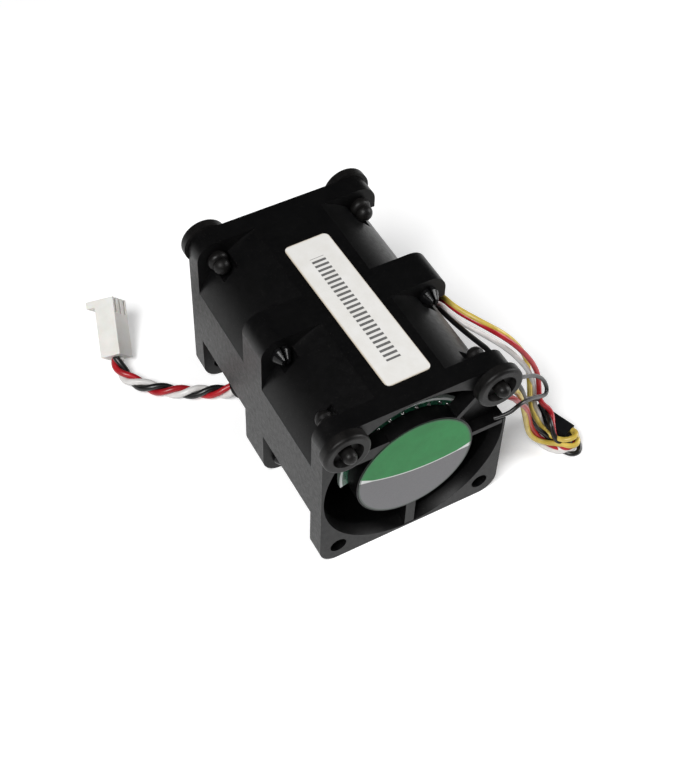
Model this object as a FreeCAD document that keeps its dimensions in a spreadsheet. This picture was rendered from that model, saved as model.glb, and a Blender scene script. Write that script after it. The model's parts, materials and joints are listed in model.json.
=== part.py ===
"""Server fan module, 40 x 40 x 56 mm: two counter-rotating axial fans joined flange to flange.

Frame: X across, +Y along the air flow from the label side to the back, +Z up. The origin is at the
bottom centre of the housing, in the joint between the two fans. Lengths are in millimetres.
"""
import FreeCAD, Part
import math
import os
import Sketcher
from FreeCAD import Placement, Rotation, Vector

DRIVING_SIZES = [
    ("frame_width", 40.0, "square of the flanges"),
    ("frame_corner", 4.0, "radius of the flange corners"),
    ("fan_length", 28.0, "one fan, along the air flow"),
    ("end_flange", 4.2, "thickness of the front and the rear flange"),
    ("joint_flange", 3.9, "thickness of each flange in the joint"),
    ("barrel_flat", 14.66, "width of the flat sides of the barrel"),
    ("side_wall", 1.2, "duct to the flat sides"),
    ("mouth_wall", 0.5, "flared end of the duct to the flat sides"),
    ("mouth_depth", 2.6, "length of the flare"),
    ("hole_inset", 4.0, "mounting holes, from the sides"),
    ("hole_radius", 1.75, "mounting holes of the end flanges"),
    ("joint_hole_radius", 1.6, "holes of the joint flanges"),
    ("relief_radius", 2.6, "hollows in the barrel round the holes"),
    ("relief_end_gap", 0.35, "hollows past the ends of the pins in them"),
    ("base_radius", 12.6, "motor base"),
    ("base_plate", 1.3, "thickness of the motor base"),
    ("base_depth", 3.4, "depth of the motor base with its rim"),
    ("base_rim", 0.8, "wall of the rim"),
    ("strut_width", 2.1, "strut below the motor base"),
    ("side_strut_width", 3.0, "level strut on the left"),
    ("side_strut_height", 9.8, "level strut, above the fan axis"),
    ("strut_root", 1.0, "struts and channel, let into the base"),
    ("strut_tip", 0.4, "struts and channel, let into the barrel"),
    ("upper_rib_angle", 47.0, "rib above the lead channel"),
    ("rib_width", 1.1, "ribs on both sides of the lead channel"),
    ("strut_depth", 3.2, "struts, along the air flow"),
    ("channel_floor", 0.7, "floor of the lead channel"),
    ("notch_depth", 3.2, "notch where the leads pass the flange"),
    ("notch_bottom", 2.5, "notch, above the fan axis"),
    ("notch_height", 11.2, "notch, up to the lug of the upper hole"),
    ("tube_radius", 3.3, "bearing tube, outside"),
    ("tube_length", 16.0, "bearing tube, from the base plate"),
    ("tube_collar", 1.9, "shoulder between the two bearings"),
    ("bearing_radius", 2.5, "ball bearing, outside"),
    ("bearing_width", 2.5, "ball bearing"),
    ("bearing_rings", 0.42, "walls of the two rings of a bearing"),
    ("shield_step", 0.2, "shields, behind the ends of the rings"),
    ("shaft_radius", 1.0, "motor shaft"),
    ("running_gap", 0.03, "shaft in its bearings"),
    ("fit_gap", 0.02, "pieces pushed into each other"),
    ("board_radius", 14.3, "circuit board"),
    ("board_thickness", 1.0, "circuit board"),
    ("board_gap", 0.05, "board behind the base"),
    ("board_inset", 0.3, "board disc, inside the edge of the base"),
    ("board_hole_gap", 0.2, "board round the bearing tube"),
    ("ear_lap", 0.5, "ear of the board, over the disc and past its notch"),
    ("stator_radius", 8.9, "stator core"),
    ("core_length", 7.0, "stack of stator sheets"),
    ("pole_count", 4, "stator poles"),
    ("yoke_radius", 4.8, "ring that carries the poles"),
    ("neck_width", 2.6, "pole necks"),
    ("shoe_thickness", 1.2, "pole shoes"),
    ("insulator_end", 0.8, "insulator on each end of the core"),
    ("insulator_step", 0.2, "insulator, inside the face of the core"),
    ("core_start", 8.3, "stator core, behind the face of the base"),
    ("clip_room", 1.6, "room for the retaining ring in front of the bearings"),
    ("spring_room", 2.4, "room for the preload spring"),
    ("slot_width", 1.3, "gap between two pole shoes"),
    ("coil_thickness", 1.1, "windings round a neck"),
    ("coil_gap", 0.05, "windings on the neck and the insulators"),
    ("air_gap", 0.35, "stator to magnet"),
    ("magnet_wall", 1.2, "ring magnet"),
    ("magnet_overhang", 1.2, "ring magnet past each end of the core"),
    ("cup_wall", 0.6, "steel cup of the rotor"),
    ("hub_wall", 0.8, "impeller hub"),
    ("hub_round", 1.0, "edge of the hub's closed end"),
    ("boss_radius", 2.6, "boss of the hub round the shaft"),
    ("boss_gap", 0.8, "boss of the hub, past the bearing tube"),
    ("cup_start", 0.4, "open end of the cup, inside the hub"),
    ("tip_gap", 0.5, "blade tips to the duct"),
    ("rotor_gap", 1.6, "circuit board to the open end of the rotor"),
    ("rotor_end_gap", 1.75, "closed end of the rotor to the end of its fan"),
    ("shaft_inset", 0.4, "shaft behind the plate of the base"),
    ("shaft_end_wall", 0.6, "hub over the end of the shaft"),
    ("clip_thickness", 0.4, "retaining ring"),
    ("clip_radius", 1.9, "retaining ring"),
    ("clip_mouth", 1.2, "retaining ring, open side"),
    ("ditch_depth", 0.2, "groove of the shaft"),
    ("ditch_start", 0.4, "groove, from the end of the shaft"),
    ("spring_wire", 0.15, "radius of the wire of the preload spring"),
    ("spring_clearance", 0.45, "middle of the wire, off the shaft"),
    ("front_blades", 5, "blades of the front impeller"),
    ("rear_blades", 7, "blades of the rear impeller"),
    ("blade_thickness", 0.9, "blades, at mid chord"),
    ("blade_blunt", 0.12, "half the thickness of the blade edges"),
    ("blade_inset", 0.5, "blades, from the ends of the hub"),
    ("blade_lap", 0.3, "blades, let into the hub"),
    ("label_margin", 0.35, "round label, inside the edge of the base"),
    ("label_thickness", 0.12, "labels"),
    ("sticker_width", 9.7, "top sticker"),
    ("sticker_length", 39.0, "top sticker"),
    ("sticker_shift", 3.2, "top sticker, towards the front"),
    ("sticker_side", 0.2, "top sticker, towards the right"),
    ("sticker_corner", 1.2, "top sticker"),
    ("sticker_turn", 1.2, "top sticker, degrees out of line"),
    ("pin_head_radius", 4.8, "rubber pins"),
    ("pin_head_height", 2.2, "rubber pins"),
    ("pin_head_round", 0.7, "edges of the head"),
    ("pin_groove_radius", 2.8, "ring groove round the nub"),
    ("pin_groove_flare", 0.3, "ring groove, wider at its mouth"),
    ("pin_groove_depth", 1.5, "ring groove round the nub"),
    ("pin_nub_radius", 1.4, "cut pull stub"),
    ("pin_nub_height", 1.7, "stub past the head"),
    ("pin_bead_radius", 2.15, "first bead of the barb behind the flange"),
    ("pin_bead_length", 2.0, "first bead of the barb"),
    ("pin_neck_radius", 1.35, "barb between its beads"),
    ("pin_tip_radius", 1.75, "second bead of the barb"),
    ("pin_tip_length", 2.3, "second bead of the barb, with its round end"),
    ("snap_head_radius", 1.95, "snap pins of the joint"),
    ("snap_collar", 0.7, "straight part of the heads"),
    ("snap_tip_radius", 0.9, "heads at their blunt ends"),
    ("snap_tip_length", 1.7, "tapered part of the heads"),
    ("snap_foot_radius", 2.25, "snap pins, on the other side"),
    ("snap_foot_length", 0.9, "snap pins, on the other side"),
    ("snap_slot", 0.5, "split of the snap pins"),
    ("pin_shank_radius", 1.7, "rubber pins in their holes"),
    ("snap_shank_radius", 1.5, "snap pins in their holes"),
    ("seat_gap", 0.05, "heads and barbs off the flanges that they hold"),
    ("wire_radius", 0.58, "single leads"),
    ("wire_pitch", 1.25, "single leads side by side"),
    ("twist_radius", 1.5, "twisted lead, over its strands"),
    ("collar_wall", 0.8, "collar that the twisted lead comes out of"),
    ("collar_length", 3.4, "collar, with what the barrel takes off it"),
    ("collar_past", 1.0, "collar over the end of the lead"),
    ("tie_radius", 0.42, "tie loop"),
    ("plug_length", 12.6, "white connector, along its lead"),
    ("plug_width", 4.5, "white connector"),
    ("plug_height", 6.1, "white connector"),
    ("plug_pitch", 2.0, "white connector, contact to contact"),
    ("plug_cell", 1.3, "white connector, square cells"),
    ("plug_cell_depth", 8.0, "white connector, depth of the cells"),
    ("plug_window", 3.4, "white connector, length of the windows"),
    ("plug_window_height", 0.8, "white connector"),
    ("plug_window_depth", 0.35, "white connector"),
    ("plug_lip_length", 1.5, "latch lip"),
    ("plug_lip_height", 4.6, "latch lip"),
    ("plug_lip_reach", 1.95, "latch lip, off the side"),
    ("plug_rib", 0.45, "guide rib, off the side"),
    ("plug_rib_start", 2.0, "guide rib, from the leads' end"),
    ("plug_rib_end", 1.0, "guide rib, from the mating end"),
    ("terminal_length", 6.0, "contacts in the white connector"),
    ("terminal_gap", 0.05, "contacts in their cells"),
    ("socket_length", 8.8, "black connector, along its leads"),
    ("socket_width", 3.4, "black connector"),
    ("socket_height", 4.3, "black connector"),
    ("socket_pitch_across", 1.6, "black connector, row to row"),
    ("socket_pitch_up", 2.0, "black connector, contact to contact"),
    ("socket_cell_width", 1.1, "black connector"),
    ("socket_cell_height", 1.2, "black connector"),
    ("socket_cell_depth", 5.5, "black connector"),
    ("socket_ramp_length", 2.2, "latch ramp"),
    ("socket_ramp_width", 1.4, "latch ramp"),
    ("socket_ramp_height", 0.6, "latch ramp"),
    ("socket_ramp_inset", 1.0, "latch ramp, from the mating end"),
    ("ground_gap", 0.05, "what lies on the surface, off it"),
    ("fold_height", 4.6, "folded leads"),
    ("fold_round", 0.6, "edges of the folded leads"),
]

doc = FreeCAD.newDocument("ServerFanModule")
sheet = doc.addObject("Spreadsheet::Sheet", "Sizes")
for row, (alias, number, meaning) in enumerate(DRIVING_SIZES, start=1):
    sheet.set("A%d" % row, alias)
    sheet.set("B%d" % row, str(number))
    sheet.set("C%d" % row, meaning)
    sheet.setAlias("B%d" % row, alias)
doc.recompute()

NODES = []


def size(alias):
    return float(sheet.get(alias))


AXIS_HEIGHT = size("frame_width") / 2
HALF = size("frame_width") / 2
HOLE = HALF - size("hole_inset")
BORE = HALF - size("side_wall")
BORE_RULE = "Sizes.frame_width / 2 - Sizes.side_wall"
BARREL = math.hypot(HALF, size("barrel_flat") / 2)
FRONT_FACE = -size("fan_length")
CUP_RADIUS = size("stator_radius") + size("air_gap") + size("magnet_wall") + size("cup_wall")
HUB_RADIUS = CUP_RADIUS + size("fit_gap") + size("hub_wall")
TIP_RADIUS = BORE - size("tip_gap")
BOARD_START = size("base_depth") + size("board_gap")
ROTOR_START = BOARD_START + size("board_thickness") + size("rotor_gap")
ROTOR_END = size("fan_length") - size("rotor_end_gap")
TUBE_END = size("base_plate") + size("tube_length")


def keep(thing, label):
    thing.Label = label
    NODES.append(thing)
    return thing


def fan_place(start):
    """The frame of one fan: its axis, at the face that its motor base lies in."""
    return Placement(Vector(0, start, AXIS_HEIGHT), Rotation())


# ---------------------------------------------------------------- sketches and features


def new_body(label, start):
    body = doc.addObject("PartDesign::Body", label)
    keep(body, label)
    body.Placement = fan_place(start)
    return body


def origin_plane(body, role):
    return next(item for item in body.Origin.OriginFeatures if item.Role == role)


def origin_axis(body, role):
    return (origin_plane(body, role), [""])


def across(body, name, station):
    """A sketch across the air flow: its X is X, its Y is Z, and it stands at Y = station."""
    sketch = body.newObject("Sketcher::SketchObject", name)
    sketch.AttachmentSupport = [(origin_plane(body, "XZ_Plane"), "")]
    sketch.MapMode = "FlatFace"
    sketch.AttachmentOffset = Placement(Vector(0, 0, -station), Rotation())
    return sketch


def along(body, name):
    """A sketch along the air flow, on the body's own axis: its X is Y and its Y is Z."""
    sketch = body.newObject("Sketcher::SketchObject", name)
    sketch.AttachmentSupport = [(origin_plane(body, "YZ_Plane"), "")]
    sketch.MapMode = "FlatFace"
    return sketch


def circle(sketch, radius, expression=None, at=(0.0, 0.0)):
    """A circle: about the body's axis where its radius has an expression, or held at a point."""
    item = sketch.addGeometry(Part.Circle(Vector(at[0], at[1], 0), Vector(0, 0, 1), radius))
    if expression:
        sketch.addConstraint(Sketcher.Constraint("Coincident", item, 3, -1, 1))
        rule = sketch.addConstraint(Sketcher.Constraint("Radius", item, radius))
        sketch.setExpression("Constraints[%d]" % rule, expression)
    else:
        sketch.addConstraint(Sketcher.Constraint("Block", item))
    return item


def outline(sketch, edges):
    """A closed outline of lines and arcs, joined end to start and held where it is drawn."""
    items = [sketch.addGeometry(edge) for edge in edges]
    for item in items:
        sketch.addConstraint(Sketcher.Constraint("Block", item))
    return items


def polygon(points):
    corners = [Vector(a, b, 0) for a, b in points]
    return [Part.LineSegment(p, q) for p, q in zip(corners, corners[1:] + corners[:1])]


def turned(angle, reach, side):
    """The point at a distance along a direction, and beside it."""
    c = math.cos(math.radians(angle))
    s = math.sin(math.radians(angle))
    return (reach * c - side * s, reach * s + side * c)


def rounded_square(half, corner):
    inner = half - corner
    edges = []
    for k in range(4):
        start = turned(90 * k, half, -inner)
        end = turned(90 * k, half, inner)
        edges.append(Part.LineSegment(Vector(*start, 0), Vector(*end, 0)))
        centre = turned(90 * k, inner, inner)
        bend = turned(90 * k + 45, corner, 0)
        after = turned(90 * k + 90, half, -inner)
        middle = (centre[0] + bend[0], centre[1] + bend[1])
        edges.append(Part.Arc(Vector(*end, 0), Vector(*middle, 0), Vector(*after, 0)))
    return edges


def clipped_round(half, radius):
    """A circle cut flat on four sides."""
    flat = math.sqrt(radius**2 - half**2)
    edges = []
    for k in range(4):
        start = turned(90 * k, half, -flat)
        end = turned(90 * k, half, flat)
        edges.append(Part.LineSegment(Vector(*start, 0), Vector(*end, 0)))
        middle = turned(90 * k + 45, radius, 0)
        after = turned(90 * k + 90, half, -flat)
        edges.append(Part.Arc(Vector(*end, 0), Vector(*middle, 0), Vector(*after, 0)))
    return edges


def pad(body, sketch, name, length, expression=None):
    """Material from the sketch towards +Y."""
    feature = body.newObject("PartDesign::Pad", name)
    feature.Profile = sketch
    feature.Length = length
    feature.Reversed = True
    if expression:
        feature.setExpression("Length", expression)
    sketch.Visibility = False
    doc.recompute()
    return feature


def pocket(body, sketch, name, length, expression=None):
    """A cut from the sketch towards +Y, which has to take material away."""
    before = body.Shape.Volume
    feature = body.newObject("PartDesign::Pocket", name)
    feature.Profile = sketch
    feature.Length = length
    feature.Reversed = False
    if expression:
        feature.setExpression("Length", expression)
    sketch.Visibility = False
    doc.recompute()
    if body.Shape.Volume >= before - 1e-6:
        feature.Reversed = True
        doc.recompute()
    if body.Shape.Volume >= before - 1e-6:
        raise ValueError(name + " cuts nothing")
    return feature


def groove(body, sketch, name):
    before = body.Shape.Volume
    feature = body.newObject("PartDesign::Groove", name)
    feature.Profile = sketch
    feature.ReferenceAxis = origin_axis(body, "Y_Axis")
    feature.Angle = 360.0
    sketch.Visibility = False
    doc.recompute()
    if body.Shape.Volume >= before - 1e-6:
        raise ValueError(name + " cuts nothing")
    return feature


def revolved(body, sketch, name):
    feature = body.newObject("PartDesign::Revolution", name)
    feature.Profile = sketch
    feature.ReferenceAxis = origin_axis(body, "Y_Axis")
    feature.Angle = 360.0
    sketch.Visibility = False
    doc.recompute()
    return feature


# ---------------------------------------------------------------- plain round pieces


def drum(name, radius, length, at, radius_rule=None, length_rule=None):
    """A cylinder along Y that starts at the point at."""
    item = doc.addObject("Part::Cylinder", name)
    item.Radius = radius
    item.Height = length
    if radius_rule:
        item.setExpression("Radius", radius_rule)
    if length_rule:
        item.setExpression("Height", length_rule)
    item.Placement = Placement(Vector(*at), Rotation(Vector(1, 0, 0), -90))
    return item


def cut(name, base, tool):
    item = doc.addObject("Part::Cut", name)
    item.Base = base
    item.Tool = tool
    return item


def fuse(name, items):
    item = doc.addObject("Part::MultiFuse", name)
    item.Shapes = items
    return item


def ring(label, outer, inner, length, start):
    """A round collar on the fan axis."""
    at = (0, start, AXIS_HEIGHT)
    body = drum(label + "_outside", outer, length, at)
    hole = drum(label + "_hole", inner, length, at)
    return keep(cut(label + "_ring", body, hole), label)


def coded(label, shape, place=None):
    """A piece whose shape is worked out in code from the sheet."""
    item = doc.addObject("Part::Feature", label)
    item.Shape = shape
    if place:
        item.Placement = place
    return keep(item, label)


# ---------------------------------------------------------------- frames


def strut(direction, side, start, end, width):
    """Outline of a straight strut that runs in a direction, beside the line through the fan axis."""
    low = side - width / 2
    high = side + width / 2
    corners = [(start, low), (end, low), (end, high), (start, high)]
    return polygon([turned(direction, reach, beside) for reach, beside in corners])


def four_rounds(sketch, radius):
    """The same circle round each of the four holes."""
    for x in (-HOLE, HOLE):
        for z in (-HOLE, HOLE):
            circle(sketch, radius, at=(x, z))


def end_room(outer):
    """How deep the hollows beside a flange are: the pin or snap in them, and a little more."""
    if outer:
        pin = size("pin_bead_length") + size("pin_tip_length")
    else:
        pin = size("snap_collar") + size("snap_tip_length")
    return size("seat_gap") + pin + size("relief_end_gap")


def lead_notch(body, name, station, depth, rule=None):
    """A notch in the right side, between the middle and the lug of the upper hole."""
    low = size("notch_bottom")
    high = low + size("notch_height")
    inside = size("base_radius")
    sketch = across(body, name + "_outline", station)
    outline(sketch, polygon([(inside, low), (2 * HALF, low), (2 * HALF, high), (inside, high)]))
    pocket(body, sketch, name, depth, rule)


def struts_and_channel(body, label):
    """The struts that carry the motor base, and the lead channel between two ribs."""
    low = size("notch_bottom")
    high = low + size("notch_height")
    rib = size("rib_width")
    root = size("base_radius") - size("strut_root")
    tip = BORE + size("strut_tip")
    level = size("side_strut_height")
    level_root = math.sqrt(root**2 - level**2)
    level_tip = math.sqrt(tip**2 - level**2)
    under = low - rib / 2
    angle = size("upper_rib_angle")
    struts = {
        "lower": strut(270, 0, root, tip, size("strut_width")),
        "left": strut(180, -level, level_root, level_tip, size("side_strut_width")),
        "upper_rib": strut(angle, 0, root, tip, rib),
        "lower_rib": strut(0, under, root, tip, rib),
    }
    for name, edges in struts.items():
        sketch = across(body, "%s_%s_outline" % (label, name), 0)
        outline(sketch, edges)
        pad(body, sketch, "%s_%s_strut" % (label, name), size("strut_depth"), "Sizes.strut_depth")
    floor = size("channel_floor")
    sketch = across(body, label + "_channel_outline", size("strut_depth") - floor)
    corner = math.sqrt(tip**2 - high**2)
    outline(sketch, polygon([(root, under), (tip, under), (corner, high), turned(angle, root, 0)]))
    pad(body, sketch, label + "_channel_floor", floor, "Sizes.channel_floor")


def motor_base(body, label):
    """The dish that carries the motor, and the bearing tube on it."""
    base = size("base_radius")
    plate = size("base_plate")
    sketch = across(body, label + "_base_outline", 0)
    circle(sketch, base, "Sizes.base_radius")
    pad(body, sketch, label + "_base", size("base_depth"), "Sizes.base_depth")
    sketch = across(body, label + "_base_hollow_outline", plate)
    circle(sketch, base - size("base_rim"), "Sizes.base_radius - Sizes.base_rim")
    hollow = size("base_depth") - plate
    pocket(body, sketch, label + "_base_hollow", hollow, "Sizes.base_depth - Sizes.base_plate")
    sketch = across(body, label + "_tube_outline", plate)
    circle(sketch, size("tube_radius"), "Sizes.tube_radius")
    pad(body, sketch, label + "_tube", size("tube_length"), "Sizes.tube_length")
    sketch = along(body, label + "_tube_hollow_outline")
    outline(sketch, polygon(tube_hollow()))
    groove(body, sketch, label + "_tube_hollow")


def fan_frame(label, start, first_flange, last_flange, first_is_outer):
    """A moulded frame: two square flanges, the barrel, and the motor base on its struts."""
    length = size("fan_length")
    first = size(first_flange)
    last = size(last_flange)
    ends = [("first", 0, first_flange, first_is_outer)]
    ends += [("last", length - last, last_flange, not first_is_outer)]
    body = new_body(label, start)
    body.AllowCompound = True

    for end, station, rule, outer in ends:
        sketch = across(body, "%s_%s_outline" % (label, end), station)
        outline(sketch, rounded_square(HALF, size("frame_corner")))
        pad(body, sketch, "%s_%s_flange" % (label, end), size(rule), "Sizes." + rule)
        lead_notch(body, "%s_%s_notch" % (label, end), station, size(rule), "Sizes." + rule)
    sketch = across(body, label + "_barrel_outline", 0)
    outline(sketch, clipped_round(HALF, BARREL))
    pad(body, sketch, label + "_barrel", length, "Sizes.fan_length")

    sketch = across(body, label + "_bore_outline", 0)
    circle(sketch, BORE, BORE_RULE)
    pocket(body, sketch, label + "_bore", length, "Sizes.fan_length")
    face = 0 if first_is_outer else length
    throat = size("mouth_depth") if first_is_outer else length - size("mouth_depth")
    mouth = HALF - size("mouth_wall")
    inside = BORE - size("mouth_wall")
    sketch = along(body, label + "_flare_outline")
    outline(sketch, polygon([(face, inside), (face, mouth), (throat, BORE), (throat, inside)]))
    groove(body, sketch, label + "_flare")

    for end, station, rule, outer in ends:
        sketch = across(body, "%s_%s_holes_outline" % (label, end), station)
        four_rounds(sketch, size("hole_radius" if outer else "joint_hole_radius"))
        pocket(body, sketch, "%s_%s_holes" % (label, end), size(rule), "Sizes." + rule)
        room = end_room(outer)
        behind = first if end == "first" else station - room
        sketch = across(body, "%s_%s_relief_outline" % (label, end), behind)
        four_rounds(sketch, size("relief_radius"))
        pocket(body, sketch, "%s_%s_relief" % (label, end), room)

    lead_notch(body, label + "_notch", 0, size("notch_depth"), "Sizes.notch_depth")
    struts_and_channel(body, label)
    motor_base(body, label)
    return body


def bearing_seats():
    """Where the two bearings start, along the air flow."""
    front = size("base_plate") + size("clip_room")
    rear = TUBE_END - size("bearing_width")
    return front, rear


def tube_hollow():
    """Half the section of the bearing tube's inside: a seat at each end and a shoulder between."""
    front, rear = bearing_seats()
    seat = size("bearing_radius")
    collar = size("tube_collar")
    behind = front + size("bearing_width")
    ledge = rear - size("spring_room")
    plate = size("base_plate")
    points = [(plate, 0), (plate, seat), (behind, seat), (behind, collar)]
    points += [(ledge, collar), (ledge, seat), (TUBE_END, seat), (TUBE_END, 0)]
    return points


# ---------------------------------------------------------------- motors


def bearing(label, start):
    """A shielded ball bearing: its two rings stand out past the shield."""
    body = new_body(label, start)
    width = size("bearing_width")
    bore = size("shaft_radius") + size("running_gap")
    outer = size("bearing_radius")
    step = size("shield_step")
    inner_ring = bore + size("bearing_rings")
    outer_ring = outer - size("bearing_rings")
    sketch = along(body, label + "_outline")
    section = [(0, bore), (0, inner_ring), (step, inner_ring)]
    section += [(step, outer_ring), (0, outer_ring), (0, outer)]
    section += [(width - a, r) for a, r in reversed(section)]
    outline(sketch, polygon(section))
    revolved(body, sketch, label + "_rings")
    return body


def pole_outline(shoe, throat):
    """One stator pole about +X: a neck and a shoe whose face is round about the axis."""
    neck = size("neck_width") / 2
    gap = math.degrees(size("slot_width") / 2 / shoe)
    span = 180 / size("pole_count") - gap
    root = (size("yoke_radius") + size("tube_radius")) / 2
    outer_low = Vector(*turned(-span, shoe, 0), 0)
    outer_high = Vector(*turned(span, shoe, 0), 0)
    inner_low = Vector(*turned(-span, throat, 0), 0)
    inner_high = Vector(*turned(span, throat, 0), 0)
    neck_low = Vector(math.sqrt(throat**2 - neck**2), -neck, 0)
    neck_high = Vector(neck_low.x, neck, 0)
    bend = (span + math.degrees(math.asin(neck / throat))) / 2
    bend_low = Vector(*turned(-bend, throat, 0), 0)
    bend_high = Vector(*turned(bend, throat, 0), 0)
    return [
        Part.LineSegment(Vector(root, -neck, 0), neck_low),
        Part.Arc(neck_low, bend_low, inner_low),
        Part.LineSegment(inner_low, outer_low),
        Part.Arc(outer_low, Vector(shoe, 0, 0), outer_high),
        Part.LineSegment(outer_high, inner_high),
        Part.Arc(inner_high, bend_high, neck_high),
        Part.LineSegment(neck_high, Vector(root, neck, 0)),
        Part.LineSegment(Vector(root, neck, 0), Vector(root, -neck, 0)),
    ]


def star(label, start, station, length, rule, shoe, throat):
    """A ring with one pole after another round it."""
    body = new_body(label, start)
    sketch = across(body, label + "_yoke_outline", station)
    circle(sketch, size("yoke_radius"), "Sizes.yoke_radius")
    circle(sketch, size("tube_radius") + size("fit_gap"), "Sizes.tube_radius + Sizes.fit_gap")
    pad(body, sketch, label + "_yoke", length, rule)
    sketch = across(body, label + "_pole_outline", station)
    outline(sketch, pole_outline(shoe, throat))
    pole = pad(body, sketch, label + "_pole", length, rule)
    pattern = body.newObject("PartDesign::PolarPattern", label + "_poles")
    pattern.Originals = [pole]
    pattern.Axis = origin_axis(body, "Y_Axis")
    pattern.Angle = 360.0
    pattern.Occurrences = int(size("pole_count"))
    body.Tip = pattern
    doc.recompute()
    return body


def stator(name, start):
    """Stacked sheets, a moulded insulator on each end, and a coil round each neck."""
    first = size("core_start")
    length = size("core_length")
    end = size("insulator_end")
    shoe = size("stator_radius")
    throat = shoe - size("shoe_thickness")
    star(name + "_stator_core", start, first, length, "Sizes.core_length", shoe, throat)
    edge = shoe - size("insulator_step")
    pair = [
        star(name + "_insulator_near", start, first - end, end, "Sizes.insulator_end", edge, throat),
        star(name + "_insulator_far", start, first + length, end, "Sizes.insulator_end", edge, throat),
    ]
    for half in pair:
        NODES.remove(half)
    keep(fuse(name + "_insulator_pair", pair), name + "_stator_insulator")
    windings(name, start, first - end, first + length + end, throat)


def windings(name, start, first, last, throat):
    """A coil round each neck, over the core and its insulators."""
    wall = size("coil_thickness")
    gap = size("coil_gap")
    inner = size("neck_width") / 2 + gap
    outer = inner + wall
    root = size("yoke_radius") + gap
    reach = math.sqrt(throat**2 - outer**2) - gap
    low = first - gap
    high = last + gap
    block = Part.makeBox(reach - root, high - low + 2 * wall, 2 * outer, Vector(root, low - wall, -outer))
    long_edges = [edge for edge in block.Edges if abs(edge.tangentAt(edge.FirstParameter).x) > 0.9]
    block = block.makeFillet(wall * 0.8, long_edges)
    window = Part.makeBox(reach - root, high - low, 2 * inner, Vector(root, low, -inner))
    coil = block.cut(window)
    count = int(size("pole_count"))
    coils = []
    for k in range(count):
        turn = Rotation(Vector(0, 1, 0), 360 * k / count)
        coils.append(coil.transformed(Placement(Vector(), turn).toMatrix()))
    coded(name + "_stator_windings", Part.makeCompound(coils), fan_place(start))


# The ear of the board runs from its right end to its left end, with a notch and a tab on the left.
EAR_RIGHT = 39
EAR_LEFT = 153
EAR_NOTCH = (154, 165)
EAR_TAB = (166, 190)
EAR_ROOT = (188, 41)

# Parts on the back of the board: angle and radius of the middle, length, width and height.
BOARD_PARTS = [
    (90, 10.2, 3.9, 2.6, 0.9),
    (62, 10.6, 1.6, 0.8, 0.6),
    (118, 10.6, 1.6, 0.8, 0.6),
    (142, 10.4, 2.0, 1.2, 0.9),
    (200, 10.2, 2.9, 1.6, 1.0),
    (250, 10.4, 1.6, 0.8, 0.6),
    (300, 10.3, 1.6, 0.8, 0.6),
    (0, 7.2, 1.5, 1.5, 0.8),
]


def bend(radius, first, last):
    """Three points of a round edge about the fan axis, from one angle to another."""
    return [Vector(*turned(angle, radius, 0), 0) for angle in (first, (first + last) / 2, last)]


def board(name, start):
    """The circuit board: a disc behind the base, and an ear that shows past it above."""
    thickness = size("board_thickness")
    body = new_body(name + "_circuit_board", start)
    inner = size("base_radius") - size("board_inset")
    hole = size("tube_radius") + size("board_hole_gap")
    sketch = across(body, name + "_board_disc_outline", BOARD_START)
    circle(sketch, inner, "Sizes.base_radius - Sizes.board_inset")
    circle(sketch, hole, "Sizes.tube_radius + Sizes.board_hole_gap")
    pad(body, sketch, name + "_board_disc", thickness, "Sizes.board_thickness")
    rim = bend(size("board_radius"), EAR_RIGHT, EAR_LEFT)
    notch = bend(inner + size("ear_lap"), *EAR_NOTCH)
    tab = bend(size("board_radius"), *EAR_TAB)
    root = bend(inner - size("ear_lap"), *EAR_ROOT)
    edges = []
    for this, following in ((rim, notch), (notch, tab), (tab, root), (root, rim)):
        edges.append(Part.Arc(*this))
        edges.append(Part.LineSegment(this[2], following[0]))
    sketch = across(body, name + "_board_ear_outline", BOARD_START)
    outline(sketch, edges)
    pad(body, sketch, name + "_board_ear", thickness, "Sizes.board_thickness")

    chips = []
    back = BOARD_START + thickness
    for number, (angle, reach, long, wide, tall) in enumerate(BOARD_PARTS):
        chip = doc.addObject("Part::Box", "%s_chip_%d" % (name, number))
        chip.Length = long
        chip.Width = tall
        chip.Height = wide
        x, z = turned(angle, reach, 0)
        turn = Rotation(Vector(0, 1, 0), 90 - angle)
        corner = turn.multVec(Vector(-long / 2, 0, -wide / 2))
        chip.Placement = Placement(Vector(x, start + back, AXIS_HEIGHT + z) + corner, turn)
        chips.append(chip)
    keep(fuse(name + "_chips", chips), name + "_board_components")


def rotor_small_parts(name, start):
    """Shaft, bearings, preload spring and retaining ring."""
    front, rear = bearing_seats()
    bearing(name + "_front_bearing", start + front)
    bearing(name + "_rear_bearing", start + rear)
    radius = size("shaft_radius")
    neck = radius - size("ditch_depth")
    clip = size("clip_thickness")
    shaft_start = size("base_plate") + size("shaft_inset")
    shaft_length = ROTOR_END - size("shaft_end_wall") - shaft_start
    ditch_start = start + shaft_start + size("ditch_start")
    at = (0, start + shaft_start, AXIS_HEIGHT)
    bar = drum(name + "_shaft_bar", radius, shaft_length, at, "Sizes.shaft_radius")
    ditch_at = (0, ditch_start, AXIS_HEIGHT)
    ditch = cut(
        name + "_shaft_ditch",
        drum(name + "_ditch_outside", 2 * radius, clip, ditch_at),
        drum(name + "_ditch_core", neck, clip, ditch_at),
    )
    keep(cut(name + "_shaft_turned", bar, ditch), name + "_shaft")
    keep(retaining_ring(name, ditch_start, clip, neck), name + "_retaining_ring")
    preload_spring(name, start + rear - size("spring_room"))


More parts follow.
